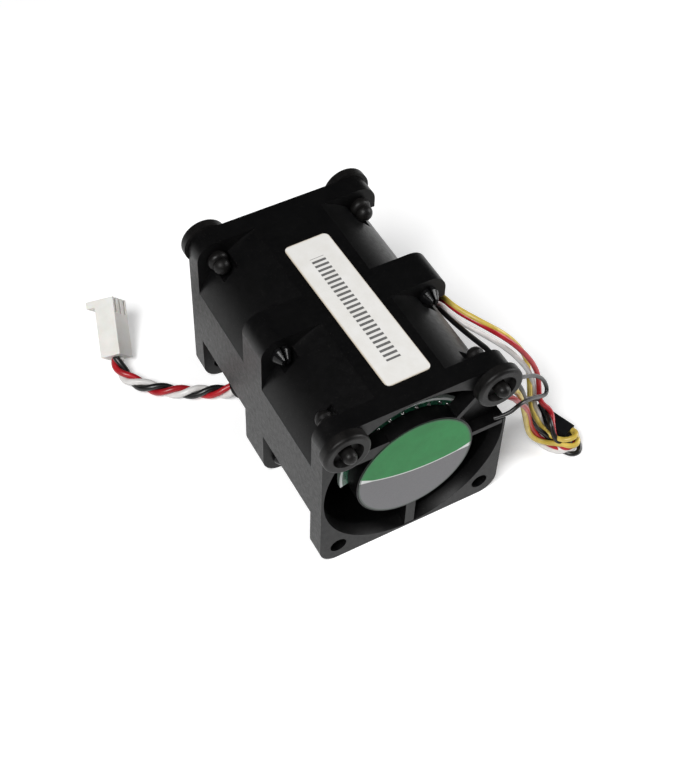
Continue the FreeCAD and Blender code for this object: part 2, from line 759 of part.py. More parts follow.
def retaining_ring(name, station, thickness, neck):
    """An open ring that clips into the groove of the shaft."""
    at = (0, station, AXIS_HEIGHT)
    reach = size("clip_radius")
    outer = drum(name + "_clip_outside", reach, thickness, at)
    hole = drum(name + "_clip_hole", neck, thickness, at)
    mouth = doc.addObject("Part::Box", name + "_clip_mouth")
    mouth.Length = size("clip_mouth")
    mouth.Width = thickness
    mouth.Height = 2 * reach
    corner = Vector(-size("clip_mouth") / 2, station, AXIS_HEIGHT - 2 * reach)
    mouth.Placement = Placement(corner, Rotation())
    return cut(name + "_clip_open", outer, fuse(name + "_clip_gaps", [hole, mouth]))


def preload_spring(name, station):
    """A three-turn spring between the shoulder of the tube and the rear bearing."""
    wire = size("spring_wire")
    room = size("spring_room") - 4 * wire
    helix = doc.addObject("Part::Helix", name + "_spring_path")
    helix.Radius = size("shaft_radius") + size("spring_clearance")
    helix.Pitch = room / 3
    helix.Height = room
    helix.Placement = Placement(Vector(), Rotation())
    doc.recompute()
    path = Part.Wire(helix.Shape.Edges)
    first = path.Edges[0]
    begin = first.valueAt(first.FirstParameter)
    heading = first.tangentAt(first.FirstParameter)
    profile = Part.Wire(Part.makeCircle(wire, begin, heading))
    spring = path.makePipeShell([profile], True, True)
    stand = Placement(Vector(0, station + 2 * wire, AXIS_HEIGHT), Rotation(Vector(1, 0, 0), -90))
    coded(name + "_preload_spring", spring, stand)


# ---------------------------------------------------------------- rotors


def blade_section(reach, chord, stagger, camber, thickness, hand):
    """A cambered section in the plane at right angles to the radius, leading edge first."""
    half = chord / 2
    blunt = size("blade_blunt")
    c = math.cos(math.radians(stagger))
    s = math.sin(math.radians(stagger))

    def point(run, rise):
        return Vector(hand * (run * s + rise * c), run * c - rise * s, reach)

    nose_back = point(-half, blunt)
    nose_front = point(-half, -blunt)
    tail_back = point(half, blunt)
    tail_front = point(half, -blunt)
    back = Part.Arc(nose_back, point(0, camber + thickness / 2), tail_back)
    front = Part.Arc(tail_front, point(0, camber - thickness / 2), nose_front)
    tail = Part.makeLine(tail_back, tail_front)
    nose = Part.makeLine(nose_front, nose_back)
    return Part.Wire([back.toShape(), tail, front.toShape(), nose])


# A blade at its root, middle and tip: place between the hub's axis and the duct, chord as a share
# of the hub's length, stagger in degrees, camber as a share of the chord, thickness.
BLADE_STATIONS = [
    (0.45, 0.90, 32, 0.105, 1.3),
    (0.72, 0.98, 44, 0.086, 1.0),
    (1.00, 1.06, 54, 0.065, 0.8),
]


def blade(hand):
    """One twisted blade that points up, cut to the sleeve between the hub and the duct."""
    span = ROTOR_END - ROTOR_START
    thickness = size("blade_thickness")
    inset = size("blade_inset")
    sections = [
        blade_section(BORE * place, span * chord, stagger, span * camber, thickness * share, hand)
        for place, chord, stagger, camber, share in BLADE_STATIONS
    ]
    loft = Part.makeLoft(sections, True, False)
    loft.translate(Vector(0, (ROTOR_START + ROTOR_END) / 2, 0))
    flow = Vector(0, 1, 0)
    outside = Part.makeCylinder(TIP_RADIUS, span - 2 * inset, Vector(0, ROTOR_START + inset, 0), flow)
    inside = Part.makeCylinder(HUB_RADIUS - size("blade_lap"), span, Vector(0, ROTOR_START, 0), flow)
    return loft.common(outside).cut(inside)


def hub(name, start):
    """A cup with a rounded edge at its closed end, and a boss on the shaft."""
    end = ROTOR_END
    wall = size("hub_wall")
    inside = CUP_RADIUS + size("fit_gap")
    shaft = size("shaft_radius")
    boss = size("boss_radius")
    boss_start = TUBE_END + size("boss_gap")
    lip = size("hub_round")
    diagonal = lip * math.sqrt(0.5)
    body = new_body(name + "_hub", start)
    NODES.remove(body)
    side = [Vector(ROTOR_START, inside, 0), Vector(ROTOR_START, HUB_RADIUS, 0)]
    side += [Vector(end - lip, HUB_RADIUS, 0)]
    corner = Vector(end - lip + diagonal, HUB_RADIUS - lip + diagonal, 0)
    chain = [Vector(end, HUB_RADIUS - lip, 0), Vector(end, shaft, 0), Vector(boss_start, shaft, 0)]
    chain += [Vector(boss_start, boss, 0), Vector(end - wall, boss, 0), Vector(end - wall, inside, 0)]
    chain += [side[0]]
    edges = [Part.LineSegment(side[0], side[1]), Part.LineSegment(side[1], side[2])]
    edges += [Part.Arc(side[2], corner, chain[0])]
    edges += [Part.LineSegment(p, q) for p, q in zip(chain, chain[1:])]
    sketch = along(body, name + "_hub_outline")
    outline(sketch, edges)
    revolved(body, sketch, name + "_hub_shell")
    return body


def impeller(name, start, blades, hand):
    """A hub and its twisted blades, moulded in one piece."""
    moulded = [hub(name, start)]
    form = blade(hand)
    for k in range(blades):
        turn = Rotation(Vector(0, 1, 0), 360 * k / blades)
        item = doc.addObject("Part::Feature", "%s_blade_%d" % (name, k))
        item.Shape = form
        item.Placement = fan_place(start).multiply(Placement(Vector(), turn))
        moulded.append(item)
    keep(fuse(name + "_impeller_moulding", moulded), name + "_impeller")


def rotor(name, start, blades, hand):
    """What turns: impeller, steel cup, ring magnet."""
    wall = size("cup_wall")
    begin = start + ROTOR_START + size("cup_start")
    length = start + ROTOR_END - size("hub_wall") - size("fit_gap") - begin
    at = (0, begin, AXIS_HEIGHT)
    outside = drum(name + "_cup_outside", CUP_RADIUS, length, at)
    inside = drum(name + "_cup_inside", CUP_RADIUS - wall, length - wall, at)
    eye = drum(name + "_cup_eye", size("boss_radius") + size("fit_gap"), length, at)
    keep(cut(name + "_cup_drawn", outside, fuse(name + "_cup_room", [inside, eye])), name + "_rotor_cup")
    magnet_outer = CUP_RADIUS - wall - size("fit_gap")
    magnet_inner = size("stator_radius") + size("air_gap")
    magnet_length = size("core_length") + 2 * size("magnet_overhang")
    magnet_start = start + size("core_start") - size("magnet_overhang")
    ring(name + "_ring_magnet", magnet_outer, magnet_inner, magnet_length, magnet_start)
    impeller(name, start, blades, hand)


def fan(name, start, first_flange, last_flange, first_is_outer, blades, hand):
    fan_frame(name + "_frame", start, first_flange, last_flange, first_is_outer)
    board(name, start)
    stator(name, start)
    rotor_small_parts(name, start)
    rotor(name, start, blades, hand)


fan("front", FRONT_FACE, "end_flange", "joint_flange", True, int(size("front_blades")), 1)
fan("rear", 0.0, "joint_flange", "end_flange", False, int(size("rear_blades")), -1)

# ---------------------------------------------------------------- labels, pins and snaps


def label_disc():
    """The round label on the front motor base."""
    thickness = size("label_thickness")
    at = (0, FRONT_FACE - thickness, AXIS_HEIGHT)
    radius = size("base_radius") - size("label_margin")
    rule = "Sizes.base_radius - Sizes.label_margin"
    keep(drum("label_disc", radius, thickness, at, rule, "Sizes.label_thickness"), "front_label")


def top_sticker():
    """A strip with round corners, laid slightly askew along the top."""
    long = size("sticker_length")
    wide = size("sticker_width")
    corner = size("sticker_corner")
    strip = doc.addObject("Part::Box", "sticker_strip")
    strip.Length = wide
    strip.Width = long
    strip.Height = size("label_thickness")
    strip.setExpression("Length", "Sizes.sticker_width")
    strip.setExpression("Width", "Sizes.sticker_length")
    strip.setExpression("Height", "Sizes.label_thickness")
    doc.recompute()
    upright = []
    for number, edge in enumerate(strip.Shape.Edges, start=1):
        if abs(edge.tangentAt(edge.FirstParameter).z) > 0.9:
            upright.append(number)
    rounded = doc.addObject("Part::Fillet", "sticker_rounded")
    rounded.Base = strip
    rounded.Edges = [(number, corner, corner) for number in upright]
    turn = Rotation(Vector(0, 0, 1), size("sticker_turn"))
    middle = Vector(size("sticker_side"), -size("sticker_shift"), size("frame_width"))
    rounded.Placement = Placement(middle - turn.multVec(Vector(wide / 2, long / 2, 0)), turn)
    keep(rounded, "top_sticker")


def quarter(sharp, before, after):
    """A round edge in place of a sharp corner, between the points before and after it."""
    a = Vector(*before, 0)
    b = Vector(*after, 0)
    corner = Vector(*sharp, 0)
    centre = a + b - corner
    middle = centre + (corner - centre).normalize() * (a - centre).Length
    return Part.Arc(a, middle, b)


def bead(start, end, neck, radius):
    """Half the section of a round bead on a neck, as an arc and its two ends."""
    return Part.Arc(Vector(start, neck, 0), Vector((start + end) / 2, radius, 0), Vector(end, neck, 0))


def pin_section(side):
    """Half the section of a rubber pin; side is +1 where the outside of the flange faces +Y."""
    head = size("pin_head_radius")
    tall = size("pin_head_height")
    soft = size("pin_head_round")
    stub = size("pin_nub_radius")
    stub_end = tall + size("pin_nub_height")
    floor = tall - size("pin_groove_depth")
    groove_floor = size("pin_groove_radius")
    groove_mouth = groove_floor + size("pin_groove_flare")
    shank = size("pin_shank_radius")
    seat = size("seat_gap")
    inner = -size("end_flange") - seat
    neck = size("pin_neck_radius")
    tip = size("pin_tip_radius")
    first_end = inner - size("pin_bead_length")
    tip_end = first_end - size("pin_tip_length")

    def at(a, r):
        return (a * side, r)

    def line(*points):
        spots = [Vector(*at(*point), 0) for point in points]
        return [Part.LineSegment(p, q) for p, q in zip(spots, spots[1:])]

    edges = [quarter(at(stub_end, stub), at(stub_end, 0), at(stub_end - stub, stub))]
    edges += line((stub_end - stub, stub), (floor, stub), (floor, groove_floor), (tall, groove_mouth))
    edges += line((tall, groove_mouth), (tall, head - soft))
    edges += [quarter(at(tall, head), at(tall, head - soft), at(tall - soft, head))]
    edges += line((tall - soft, head), (seat, head), (seat, shank), (inner, shank), (inner, neck))
    edges += [bead(inner * side, first_end * side, neck, size("pin_bead_radius"))]
    edges += line((first_end, neck), (tip_end + tip, tip))
    edges += [quarter(at(tip_end, tip), at(tip_end + tip, tip), at(tip_end, 0))]
    edges += line((tip_end, 0), (stub_end, 0))
    return edges


def rubber_pin(label, x, face, outward):
    """A pull-through pin: head outside, shank in the hole, barb behind the flange."""
    body = doc.addObject("PartDesign::Body", label)
    keep(body, label)
    body.Placement = Placement(Vector(x, face, AXIS_HEIGHT + HOLE), Rotation())
    sketch = along(body, label + "_outline")
    outline(sketch, pin_section(outward))
    revolved(body, sketch, label + "_turned")


def joint_snaps():
    """Four split pins that hold the two frames together, all alike."""
    flange = size("joint_flange")
    seat = size("seat_gap")
    shank = size("snap_shank_radius")
    head = size("snap_head_radius")
    collar = size("snap_collar")
    tip_length = size("snap_tip_length")
    foot_length = size("snap_foot_length")
    split = size("snap_slot")
    near = -flange - seat
    pins = []
    for x in (-HOLE, HOLE):
        for z in (AXIS_HEIGHT - HOLE, AXIS_HEIGHT + HOLE):
            tag = "snap_%s_%s" % ("left" if x < 0 else "right", "low" if z < AXIS_HEIGHT else "high")
            bar = drum(tag + "_shank", shank, 2 * (flange + seat), (x, near, z), "Sizes.snap_shank_radius")
            ring_at = (x, near - collar, z)
            ring_body = drum(tag + "_collar", head, collar, ring_at, "Sizes.snap_head_radius")
            tip = doc.addObject("Part::Cone", tag + "_tip")
            tip.Radius1 = head
            tip.Radius2 = size("snap_tip_radius")
            tip.Height = tip_length
            tip.Placement = Placement(Vector(*ring_at), Rotation(Vector(1, 0, 0), 90))
            foot = drum(tag + "_foot", size("snap_foot_radius"), foot_length, (x, flange + seat, z))
            pin = fuse(tag + "_solid", [bar, ring_body, tip, foot])
            slot = doc.addObject("Part::Box", tag + "_slot")
            slot.Length = split
            slot.Width = tip_length + collar + flange / 2
            slot.Height = 2 * head + split
            corner = Vector(x - split / 2, near - collar - tip_length, z - head - split / 2)
            slot.Placement = Placement(corner, Rotation())
            pins.append(cut(tag, pin, slot))
    keep(fuse("snap_set", pins), "joint_snaps")


# ---------------------------------------------------------------- leads


def rounded_path(points):
    """Straight runs joined by tangent arcs, each as large as its two runs allow, and the radii."""
    spots = [Vector(*p) for p in points]
    edges = []
    radii = []
    here = spots[0]
    for before, corner, after in zip(spots, spots[1:], spots[2:]):
        back = (before - corner).normalize()
        ahead = (after - corner).normalize()
        half_turn = (math.pi - back.getAngle(ahead)) / 2
        shorter = min((before - corner).Length, (after - corner).Length)
        cut_back = 0.45 * shorter
        radius = cut_back / math.tan(half_turn)
        radii.append(radius)
        start = corner + back * cut_back
        end = corner + ahead * cut_back
        inward = (back + ahead).normalize()
        centre = corner + inward * (radius / math.cos(half_turn))
        middle = centre - inward * radius
        edges.append(Part.LineSegment(here, start).toShape())
        edges.append(Part.Arc(start, middle, end).toShape())
        here = end
    edges.append(Part.LineSegment(here, spots[-1]).toShape())
    return Part.Wire(edges), radii


def tube(label, points, radius):
    """A plain round tube along a route; its volume is compared with section times length."""
    path, radii = rounded_path(points)
    heading = Vector(*points[1]) - Vector(*points[0])
    profile = Part.Wire(Part.makeCircle(radius, Vector(*points[0]), heading))
    shape = path.makePipeShell([profile], True, True)
    wanted = math.pi * radius**2 * path.Length
    if abs(shape.Volume - wanted) > 0.01 * wanted:
        raise ValueError(label + " is not as full as its route is long")
    print("%s: length %.1f, radii %s" % (label, path.Length, " ".join("%.1f" % r for r in radii)))
    coded(label, shape)


def ribbon(points, spreads, place):
    """The route of one lead of several that lie side by side; place counts from the middle."""
    spots = [Vector(*p) for p in points]
    route = []
    for number, (spot, spread) in enumerate(zip(spots, spreads)):
        tangent = (spots[min(number + 1, len(spots) - 1)] - spots[max(number - 1, 0)]).normalize()
        side = Vector(*spread)
        side = (side - tangent * side.dot(tangent)).normalize() * (place * size("wire_pitch"))
        route.append(tuple(spot + side))
    return route


# The twisted lead of the left side, from the foot of the rear barrel to the white connector.
TWISTED = [
    (-15.6, 15.6, 4.1), (-17.6, 16.8, 2.1), (-21.2, 19.2, 1.55), (-27.0, 22.0, 1.55),
    (-32.6, 26.6, 1.55), (-36.15, 32.34, 1.6), (-35.2, 35.36, 3.32),
]

# How the white connector lies: the way its leads run into it, and its upper side.
PLUG_AHEAD = (3.34, 10.61, 6.03)
PLUG_UP = (-0.546, -0.276, 0.789)

# Where the leads run into the black connector on the surface, and which way.
SOCKET_START = (39.1, -26.15)
SOCKET_AHEAD = (-0.34, 0.94, 0)

# The rear fan's leads: out of the notch in the joint, round the right side and down to the surface.
REAR_LEADS = [
    (20.1, 1.7, 27.6), (22.2, 0.4, 27.9), (23.4, -3.6, 27.5), (25.2, -7.9, 27.0), (28.0, -12.2, 25.4),
    (30.8, -15.8, 22.4), (33.2, -17.8, 17.6), (34.4, -18.6, 12.4), (34.8, -19.6, 8.2), (34.9, -21.8, 4.9),
    (35.4, -24.6, 2.6),
]
REAR_SPREADS = [
    (0, 0, 1), (0, 0, 1), (0.3, 0, 1), (0.4, 0.2, 0.9), (0.5, 0.3, 0.8), (0.7, 0.3, 0.6),
    (0.9, 0.3, 0.3), (0.95, 0.3, 0.1), (0.95, 0.2, 0.1), (0.9, 0.1, 0.2), (0.9, 0.1, 0.2),
]

# The yellow one crosses behind the other two on its way down.
REAR_YELLOW_END = [
    (31.9, -13.6, 22.0), (34.2, -15.4, 16.6), (32.4, -17.4, 12.0), (31.8, -20.2, 8.2), (32.1, -22.9, 5.3),
    (33.5, -25.6, 3.3),
]

# The front fan's leads: out of the channel, down and along the surface.
FRONT_LEADS = [
    (20.1, -26.4, 26.4), (22.4, -26.6, 24.6), (25.0, -26.4, 20.0), (27.5, -25.9, 13.8), (30.3, -25.8, 8.0),
    (33.4, -27.0, 3.6),
]
FRONT_SPREADS = [(0, 0, 1), (0.4, 0, 1), (0.9, 0, 0.5), (0.9, 0.1, 0.4), (0.7, 0.3, 0.6), (0.2, 0.6, 0.75)]

# The order of the front fan's leads, side by side.
LEAD_COLOURS = ("yellow", "red", "white", "black")

# The rear fan's black lead runs apart from the others, along the corner of the barrel.
REAR_BLACK = [
    (20.1, 1.7, 30.4), (21.7, 0.6, 31.2), (21.6, -4.4, 32.8), (19.5, -9.6, 34.0), (19.7, -15.8, 34.5),
    (20.9, -21.8, 34.0), (22.6, -25.0, 30.4), (26.2, -23.6, 23.8), (30.0, -22.6, 16.4), (33.2, -22.4, 10.4),
    (35.0, -23.3, 6.6), (35.9, -25.2, 4.0),
]

# The loose loop of the tie: out of the channel, over the leads and back behind the head of the pin.
TIE = [
    (17.6, -27.4, 23.15), (21.0, -28.2, 23.0), (25.0, -28.5, 22.2), (29.2, -27.1, 20.2), (32.6, -25.8, 18.5),
    (34.0, -24.5, 18.7), (33.7, -23.4, 20.4), (31.0, -22.9, 22.9), (27.4, -23.5, 26.9), (24.2, -25.2, 30.9),
    (21.2, -26.8, 32.4),
]

# The fold of the leads on the surface in front of the black connector, seen from above.
FOLD = [
    (34.2, -24.6), (36.4, -23.2), (37.2, -25.4), (40.7, -26.7), (42.0, -27.2), (41.7, -29.4),
    (36.4, -30.0), (33.2, -28.6),
]


def basis(origin, ahead, up):
    """A placement whose Y runs ahead and whose Z is the part of up at right angles to it."""
    y = Vector(*ahead).normalize()
    z = Vector(*up)
    z = (z - y * z.dot(y)).normalize()
    x = y.cross(z)
    rows = [x.x, y.x, z.x, origin[0], x.y, y.y, z.y, origin[1], x.z, y.z, z.z, origin[2], 0, 0, 0, 1]
    return Placement(FreeCAD.Matrix(*rows))


def cell(name, long, high, wide, centre, start):
    """A block in the frame of a connector: X across, Y along, Z up; centre is its X and Z."""
    item = doc.addObject("Part::Box", name)
    item.Length = wide
    item.Width = long
    item.Height = high
    item.Placement = Placement(Vector(centre[0] - wide / 2, start, centre[1] - high / 2), Rotation())
    return item


def white_connector():
    """A three-way crimp housing: cells from the mating end, windows for the barbs, and a latch lip."""
    long = size("plug_length")
    wide = size("plug_width")
    high = size("plug_height")
    pitch = size("plug_pitch")
    room = size("plug_cell")
    depth = size("plug_cell_depth")
    window = size("plug_window")
    window_high = size("plug_window_height")
    cut_in = 2 * size("plug_window_depth")
    terminal = size("terminal_length")
    reach = size("plug_lip_reach")
    rib = size("plug_rib")
    rib_length = long - size("plug_rib_start") - size("plug_rib_end")
    contact = room - 2 * size("terminal_gap")
    pose = basis(TWISTED[-1], PLUG_AHEAD, PLUG_UP)
    shell = cell("plug_shell", long, high, wide, (0, 0), 0)
    lip_middle = (-(wide + reach) / 2, (high - size("plug_lip_height")) / 2)
    lip_length = size("plug_lip_length")
    lip = cell("plug_lip", lip_length, size("plug_lip_height"), reach, lip_middle, long - lip_length)
    guide = cell("plug_rib", rib_length, rib, rib, (-(wide + rib) / 2, 0), size("plug_rib_start"))
    openings = []
    terminals = []
    for k in (-1, 0, 1):
        middle = (0, k * pitch)
        openings.append(cell("plug_cell_%d" % k, depth, room, room, middle, long - depth))
        side = (wide / 2, k * pitch)
        openings.append(cell("plug_window_%d" % k, window, window_high, cut_in, side, long - window))
        terminals.append(cell("terminal_%d" % k, terminal, contact, contact, middle, long - depth))
    body = cut("plug_moulding", fuse("plug_outside", [shell, lip, guide]), fuse("plug_rooms", openings))
    body.Placement = pose
    keep(body, "white_connector")
    metal = fuse("terminal_set", terminals)
    metal.Placement = pose
    keep(metal, "white_connector_terminals")


def black_connector():
    """The connector that all eight leads of the right side go into, with its mating end to the back."""
    long = size("socket_length")
    wide = size("socket_width")
    high = size("socket_height")
    depth = size("socket_cell_depth")
    room_high = size("socket_cell_height")
    room_wide = size("socket_cell_width")
    pose = basis((*SOCKET_START, high / 2 + size("ground_gap")), SOCKET_AHEAD, (0, 0, 1))
    shell = cell("socket_shell", long, high, wide, (0, 0), 0)
    ramp_long = size("socket_ramp_length")
    ramp_high = size("socket_ramp_height")
    ramp_start = long - ramp_long - size("socket_ramp_inset")
    ramp_middle = (0, (high + ramp_high) / 2)
    ramp = cell("socket_ramp", ramp_long, ramp_high, size("socket_ramp_width"), ramp_middle, ramp_start)
    openings = []
    for row in (-0.5, 0.5):
        for k in (-0.5, 0.5):
            middle = (row * size("socket_pitch_across"), k * size("socket_pitch_up"))
            name = "socket_cell_%d" % len(openings)
            openings.append(cell(name, depth, room_high, room_wide, middle, long - depth))
    body = cut("socket_moulding", fuse("socket_outside", [shell, ramp]), fuse("socket_rooms", openings))
    body.Placement = pose
    keep(body, "black_connector")
    return body


def lead_fold(others):
    """The outer shape of the folded leads, with the ends of the straight leads let into it."""
    ground = size("ground_gap")
    corners = [Vector(x, y, ground) for x, y in FOLD]
    rise = Vector(0, 0, size("fold_height") - ground)
    slab = Part.Face(Part.makePolygon(corners + corners[:1])).extrude(rise)
    above = [edge for edge in slab.Edges if edge.CenterOfMass.z > 2 * ground]
    slab = slab.makeFillet(size("fold_round"), above)
    for other in others:
        slab = slab.cut(other.Shape)
    coded("lead_fold", slab)


def lead_exit():
    """The collar that the twisted lead comes out of, seated on the barrel."""
    start = Vector(*TWISTED[0])
    heading = (Vector(*TWISTED[1]) - start).normalize()
    length = size("collar_length")
    past = size("collar_past")
    outer = size("twist_radius") + size("collar_wall")
    collar = Part.makeCylinder(outer, length, start - heading * (length - past), heading)
    barrel = Part.makeCylinder(BARREL, size("fan_length"), Vector(0, 0, AXIS_HEIGHT), Vector(0, 1, 0))
    lead = Part.makeCylinder(size("twist_radius"), length, start, heading)
    coded("lead_exit_collar", collar.cut(barrel).cut(lead))


label_disc()
top_sticker()
for side, x in (("left", -HOLE), ("right", HOLE)):
    rubber_pin("front_%s_pin" % side, x, FRONT_FACE, -1)
    rubber_pin("rear_%s_pin" % side, x, -FRONT_FACE, 1)
joint_snaps()
lead_exit()
tube("twisted_lead", TWISTED, size("twist_radius"))
white_connector()
rear_yellow = ribbon(REAR_LEADS, REAR_SPREADS, 1)[:-len(REAR_YELLOW_END)] + REAR_YELLOW_END
tube("rear_yellow_lead", rear_yellow, size("wire_radius"))
tube("rear_red_lead", ribbon(REAR_LEADS, REAR_SPREADS, 0), size("wire_radius"))
tube("rear_white_lead", ribbon(REAR_LEADS, REAR_SPREADS, -1), size("wire_radius"))
tube("rear_black_lead", REAR_BLACK, size("wire_radius"))
for number, colour in enumerate(LEAD_COLOURS):
    route = ribbon(FRONT_LEADS, FRONT_SPREADS, number - (len(LEAD_COLOURS) - 1) / 2)
    tube("front_%s_lead" % colour, route, size("wire_radius"))
tube("lead_tie", TIE, size("tie_radius"))
socket = black_connector()
doc.recompute()
right_leads = [item for item in NODES if item.Label.startswith(("front_", "rear_")) and "lead" in item.Label]
lead_fold(right_leads + [socket])

# ---------------------------------------------------------------- checks and files


def finish():
    doc.recompute()
    for item in doc.Objects:
        if "Invalid" in item.State or "Error" in item.State:
            raise ValueError("%s did not build: %s" % (item.Label, item.State))
    os.makedirs("parts", exist_ok=True)
    for item in NODES:
        shape = item.Shape
        if shape.isNull() or not shape.isValid():
            raise ValueError(item.Label + " has no sound shape")
        if not shape.Solids:
            raise ValueError(item.Label + " is not solid")
    for item in NODES:
        item.Shape.exportStep("parts/%s.step" % item.Label)
    print("%d nodes" % len(NODES))


finish()
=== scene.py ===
import json
import math

import bmesh
import bpy
from mathutils import Matrix, Vector


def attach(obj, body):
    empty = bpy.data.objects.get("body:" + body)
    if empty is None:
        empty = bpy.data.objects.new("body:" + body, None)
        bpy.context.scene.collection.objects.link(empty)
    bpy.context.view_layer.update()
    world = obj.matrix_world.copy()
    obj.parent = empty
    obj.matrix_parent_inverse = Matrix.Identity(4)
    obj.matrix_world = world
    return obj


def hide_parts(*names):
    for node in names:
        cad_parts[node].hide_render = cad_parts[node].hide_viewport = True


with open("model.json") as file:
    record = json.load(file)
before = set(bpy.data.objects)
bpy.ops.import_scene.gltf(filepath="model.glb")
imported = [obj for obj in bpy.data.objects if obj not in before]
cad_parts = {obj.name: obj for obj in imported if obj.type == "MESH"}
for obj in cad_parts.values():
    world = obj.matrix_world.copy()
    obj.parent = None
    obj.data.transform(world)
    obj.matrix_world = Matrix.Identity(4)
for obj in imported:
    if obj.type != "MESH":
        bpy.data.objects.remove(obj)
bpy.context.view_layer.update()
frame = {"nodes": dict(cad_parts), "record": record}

MM = 0.001

# ---------------------------------------------------------------- sizes that the pieces share, in metres

# height of the fan axis over the floor
FAN_AXIS = 0.020
# radii of a single lead, of one strand of the twisted lead, and of the loose loop
WIRE = 0.00055
STRAND = 0.00070
TIE = 0.00042
# three strands that touch: their middles lie this far from the line that they wind about
STRAND_ORBIT = 2 * STRAND / math.sqrt(3)
TWIST_PITCH = 0.0112
TWIST_PHASE = 0.4


def mm(points):
    """Points given in millimetres, in metres."""
    return [Vector(p) * MM for p in points]


# ---------------------------------------------------------------- nodes of the materials


class Paint:
    """A material in the making: its shader, and short calls for the nodes that feed it."""

    def __init__(self, name):
        self.material = bpy.data.materials.new(name)
        self.material.use_nodes = True
        self.tree = self.material.node_tree
        self.shader = self.tree.nodes["Principled BSDF"]
        self.place = self.new("ShaderNodeTexCoord").outputs["Object"]

    def new(self, kind, **settings):
        node = self.tree.nodes.new(kind)
        for key, value in settings.items():
            setattr(node, key, value)
        return node

    def link(self, source, target):
        if isinstance(source, (int, float, tuple)):
            target.default_value = source
        else:
            self.tree.links.new(source, target)

    def set(self, **values):
        for key, value in values.items():
            self.shader.inputs[key.replace("_", " ")].default_value = value

    def math(self, operation, a, b=0.0, c=0.0, clamp=False):
        node = self.new("ShaderNodeMath", operation=operation, use_clamp=clamp)
        for source, socket in zip((a, b, c), node.inputs):
            self.link(source, socket)
        return node.outputs[0]

    def noise(self, scale, detail=4.0, rough=0.55, place=None):
        node = self.new("ShaderNodeTexNoise")
        node.inputs["Scale"].default_value = scale
        node.inputs["Detail"].default_value = detail
        node.inputs["Roughness"].default_value = rough
        self.link(place or self.place, node.inputs["Vector"])
        return node.outputs["Fac"]

    def cell_edges(self, scale):
        node = self.new("ShaderNodeTexVoronoi", feature="DISTANCE_TO_EDGE")
        node.inputs["Scale"].default_value = scale
        self.link(self.place, node.inputs["Vector"])
        return node.outputs["Distance"]

    def bands(self, direction, scale, distortion=0.0):
        node = self.new("ShaderNodeTexWave", wave_type="BANDS", bands_direction=direction)
        node.inputs["Scale"].default_value = scale
        node.inputs["Distortion"].default_value = distortion
        self.link(self.place, node.inputs["Vector"])
        return node.outputs["Fac"]

    def ramp(self, factor, *stops):
        """A factor turned into a number or colour; each stop is (position, value)."""
        node = self.new("ShaderNodeValToRGB")
        for extra in stops[2:]:
            node.color_ramp.elements.new(extra[0])
        for element, (position, value) in zip(node.color_ramp.elements, stops):
            element.position = position
            element.color = (value, value, value, 1) if isinstance(value, float) else (*value, 1)
        self.link(factor, node.inputs["Fac"])
        return node.outputs["Color"]

    def mix(self, factor, a, b):
        node = self.new("ShaderNodeMix", data_type="RGBA")
        self.link(factor, node.inputs[0])
        for source, socket in ((a, node.inputs[6]), (b, node.inputs[7])):
            self.link((*source, 1) if isinstance(source, tuple) else source, socket)
        return node.outputs[2]

    def axes(self, place=None):
        node = self.new("ShaderNodeSeparateXYZ")
        self.link(place or self.place, node.inputs[0])
        return node.outputs

    def distance(self, a, b):
        """How far a place is from the middle, from its two distances along the axes."""
        squares = self.math("ADD", self.math("MULTIPLY", a, a), self.math("MULTIPLY", b, b))
        return self.math("SQRT", squares)

    def above(self, value, level, soft=0.00008):
        """0 below a level, 1 above it, with a soft edge this wide."""
        past = self.math("SUBTRACT", value, level)
        return self.math("MULTIPLY_ADD", past, 1.0 / soft, 0.5, clamp=True)

    def moved(self, offset=(0.0, 0.0, 0.0), turn=(0.0, 0.0, 0.0), scale=(1.0, 1.0, 1.0)):
        node = self.new("ShaderNodeMapping", vector_type="POINT")
        node.inputs["Location"].default_value = offset
        node.inputs["Rotation"].default_value = turn
        node.inputs["Scale"].default_value = scale
        self.link(self.place, node.inputs["Vector"])
        return node.outputs[0]

    def bump(self, height, strength, distance):
        node = self.new("ShaderNodeBump")
        node.inputs["Strength"].default_value = strength
        node.inputs["Distance"].default_value = distance
        self.link(height, node.inputs["Height"])
        self.link(node.outputs[0], self.shader.inputs["Normal"])

    def colour(self, source):
        self.link((*source, 1) if isinstance(source, tuple) else source, self.shader.inputs["Base Color"])

    def roughness(self, source):
        self.link(source, self.shader.inputs["Roughness"])


# specular level of surfaces that are duller than a polished one
DULL_GLOSS = 0.2


def moulded(name, dark, light, rough, speck=0.0):
    """Moulded black plastic: a fine spark-eroded grain, faint flow marks and rubbed patches."""
    p = Paint(name)
    flow = p.noise(160.0, 5.0, 0.6)
    fine = p.noise(5200.0, 3.0, 0.6)
    rubbed = p.noise(900.0, 6.0, 0.7)
    tone = p.math("ADD", p.math("MULTIPLY", flow, 0.6), p.math("MULTIPLY", fine, 0.4))
    base = p.mix(p.ramp(tone, (0.36, 0.0), (0.66, 1.0)), dark, light)
    if speck:
        dust = p.ramp(p.noise(7000.0, 2.0, 0.5), (0.70, 0.0), (0.76, speck))
        base = p.mix(dust, base, (0.30, 0.29, 0.27))
    p.colour(base)
    p.roughness(p.ramp(rubbed, (0.3, rough - 0.07), (0.7, rough + 0.09)))
    p.set(Specular_IOR_Level=DULL_GLOSS)
    p.bump(p.math("ADD", fine, p.math("MULTIPLY", flow, 0.8)), 0.35, 0.00004)
    return p


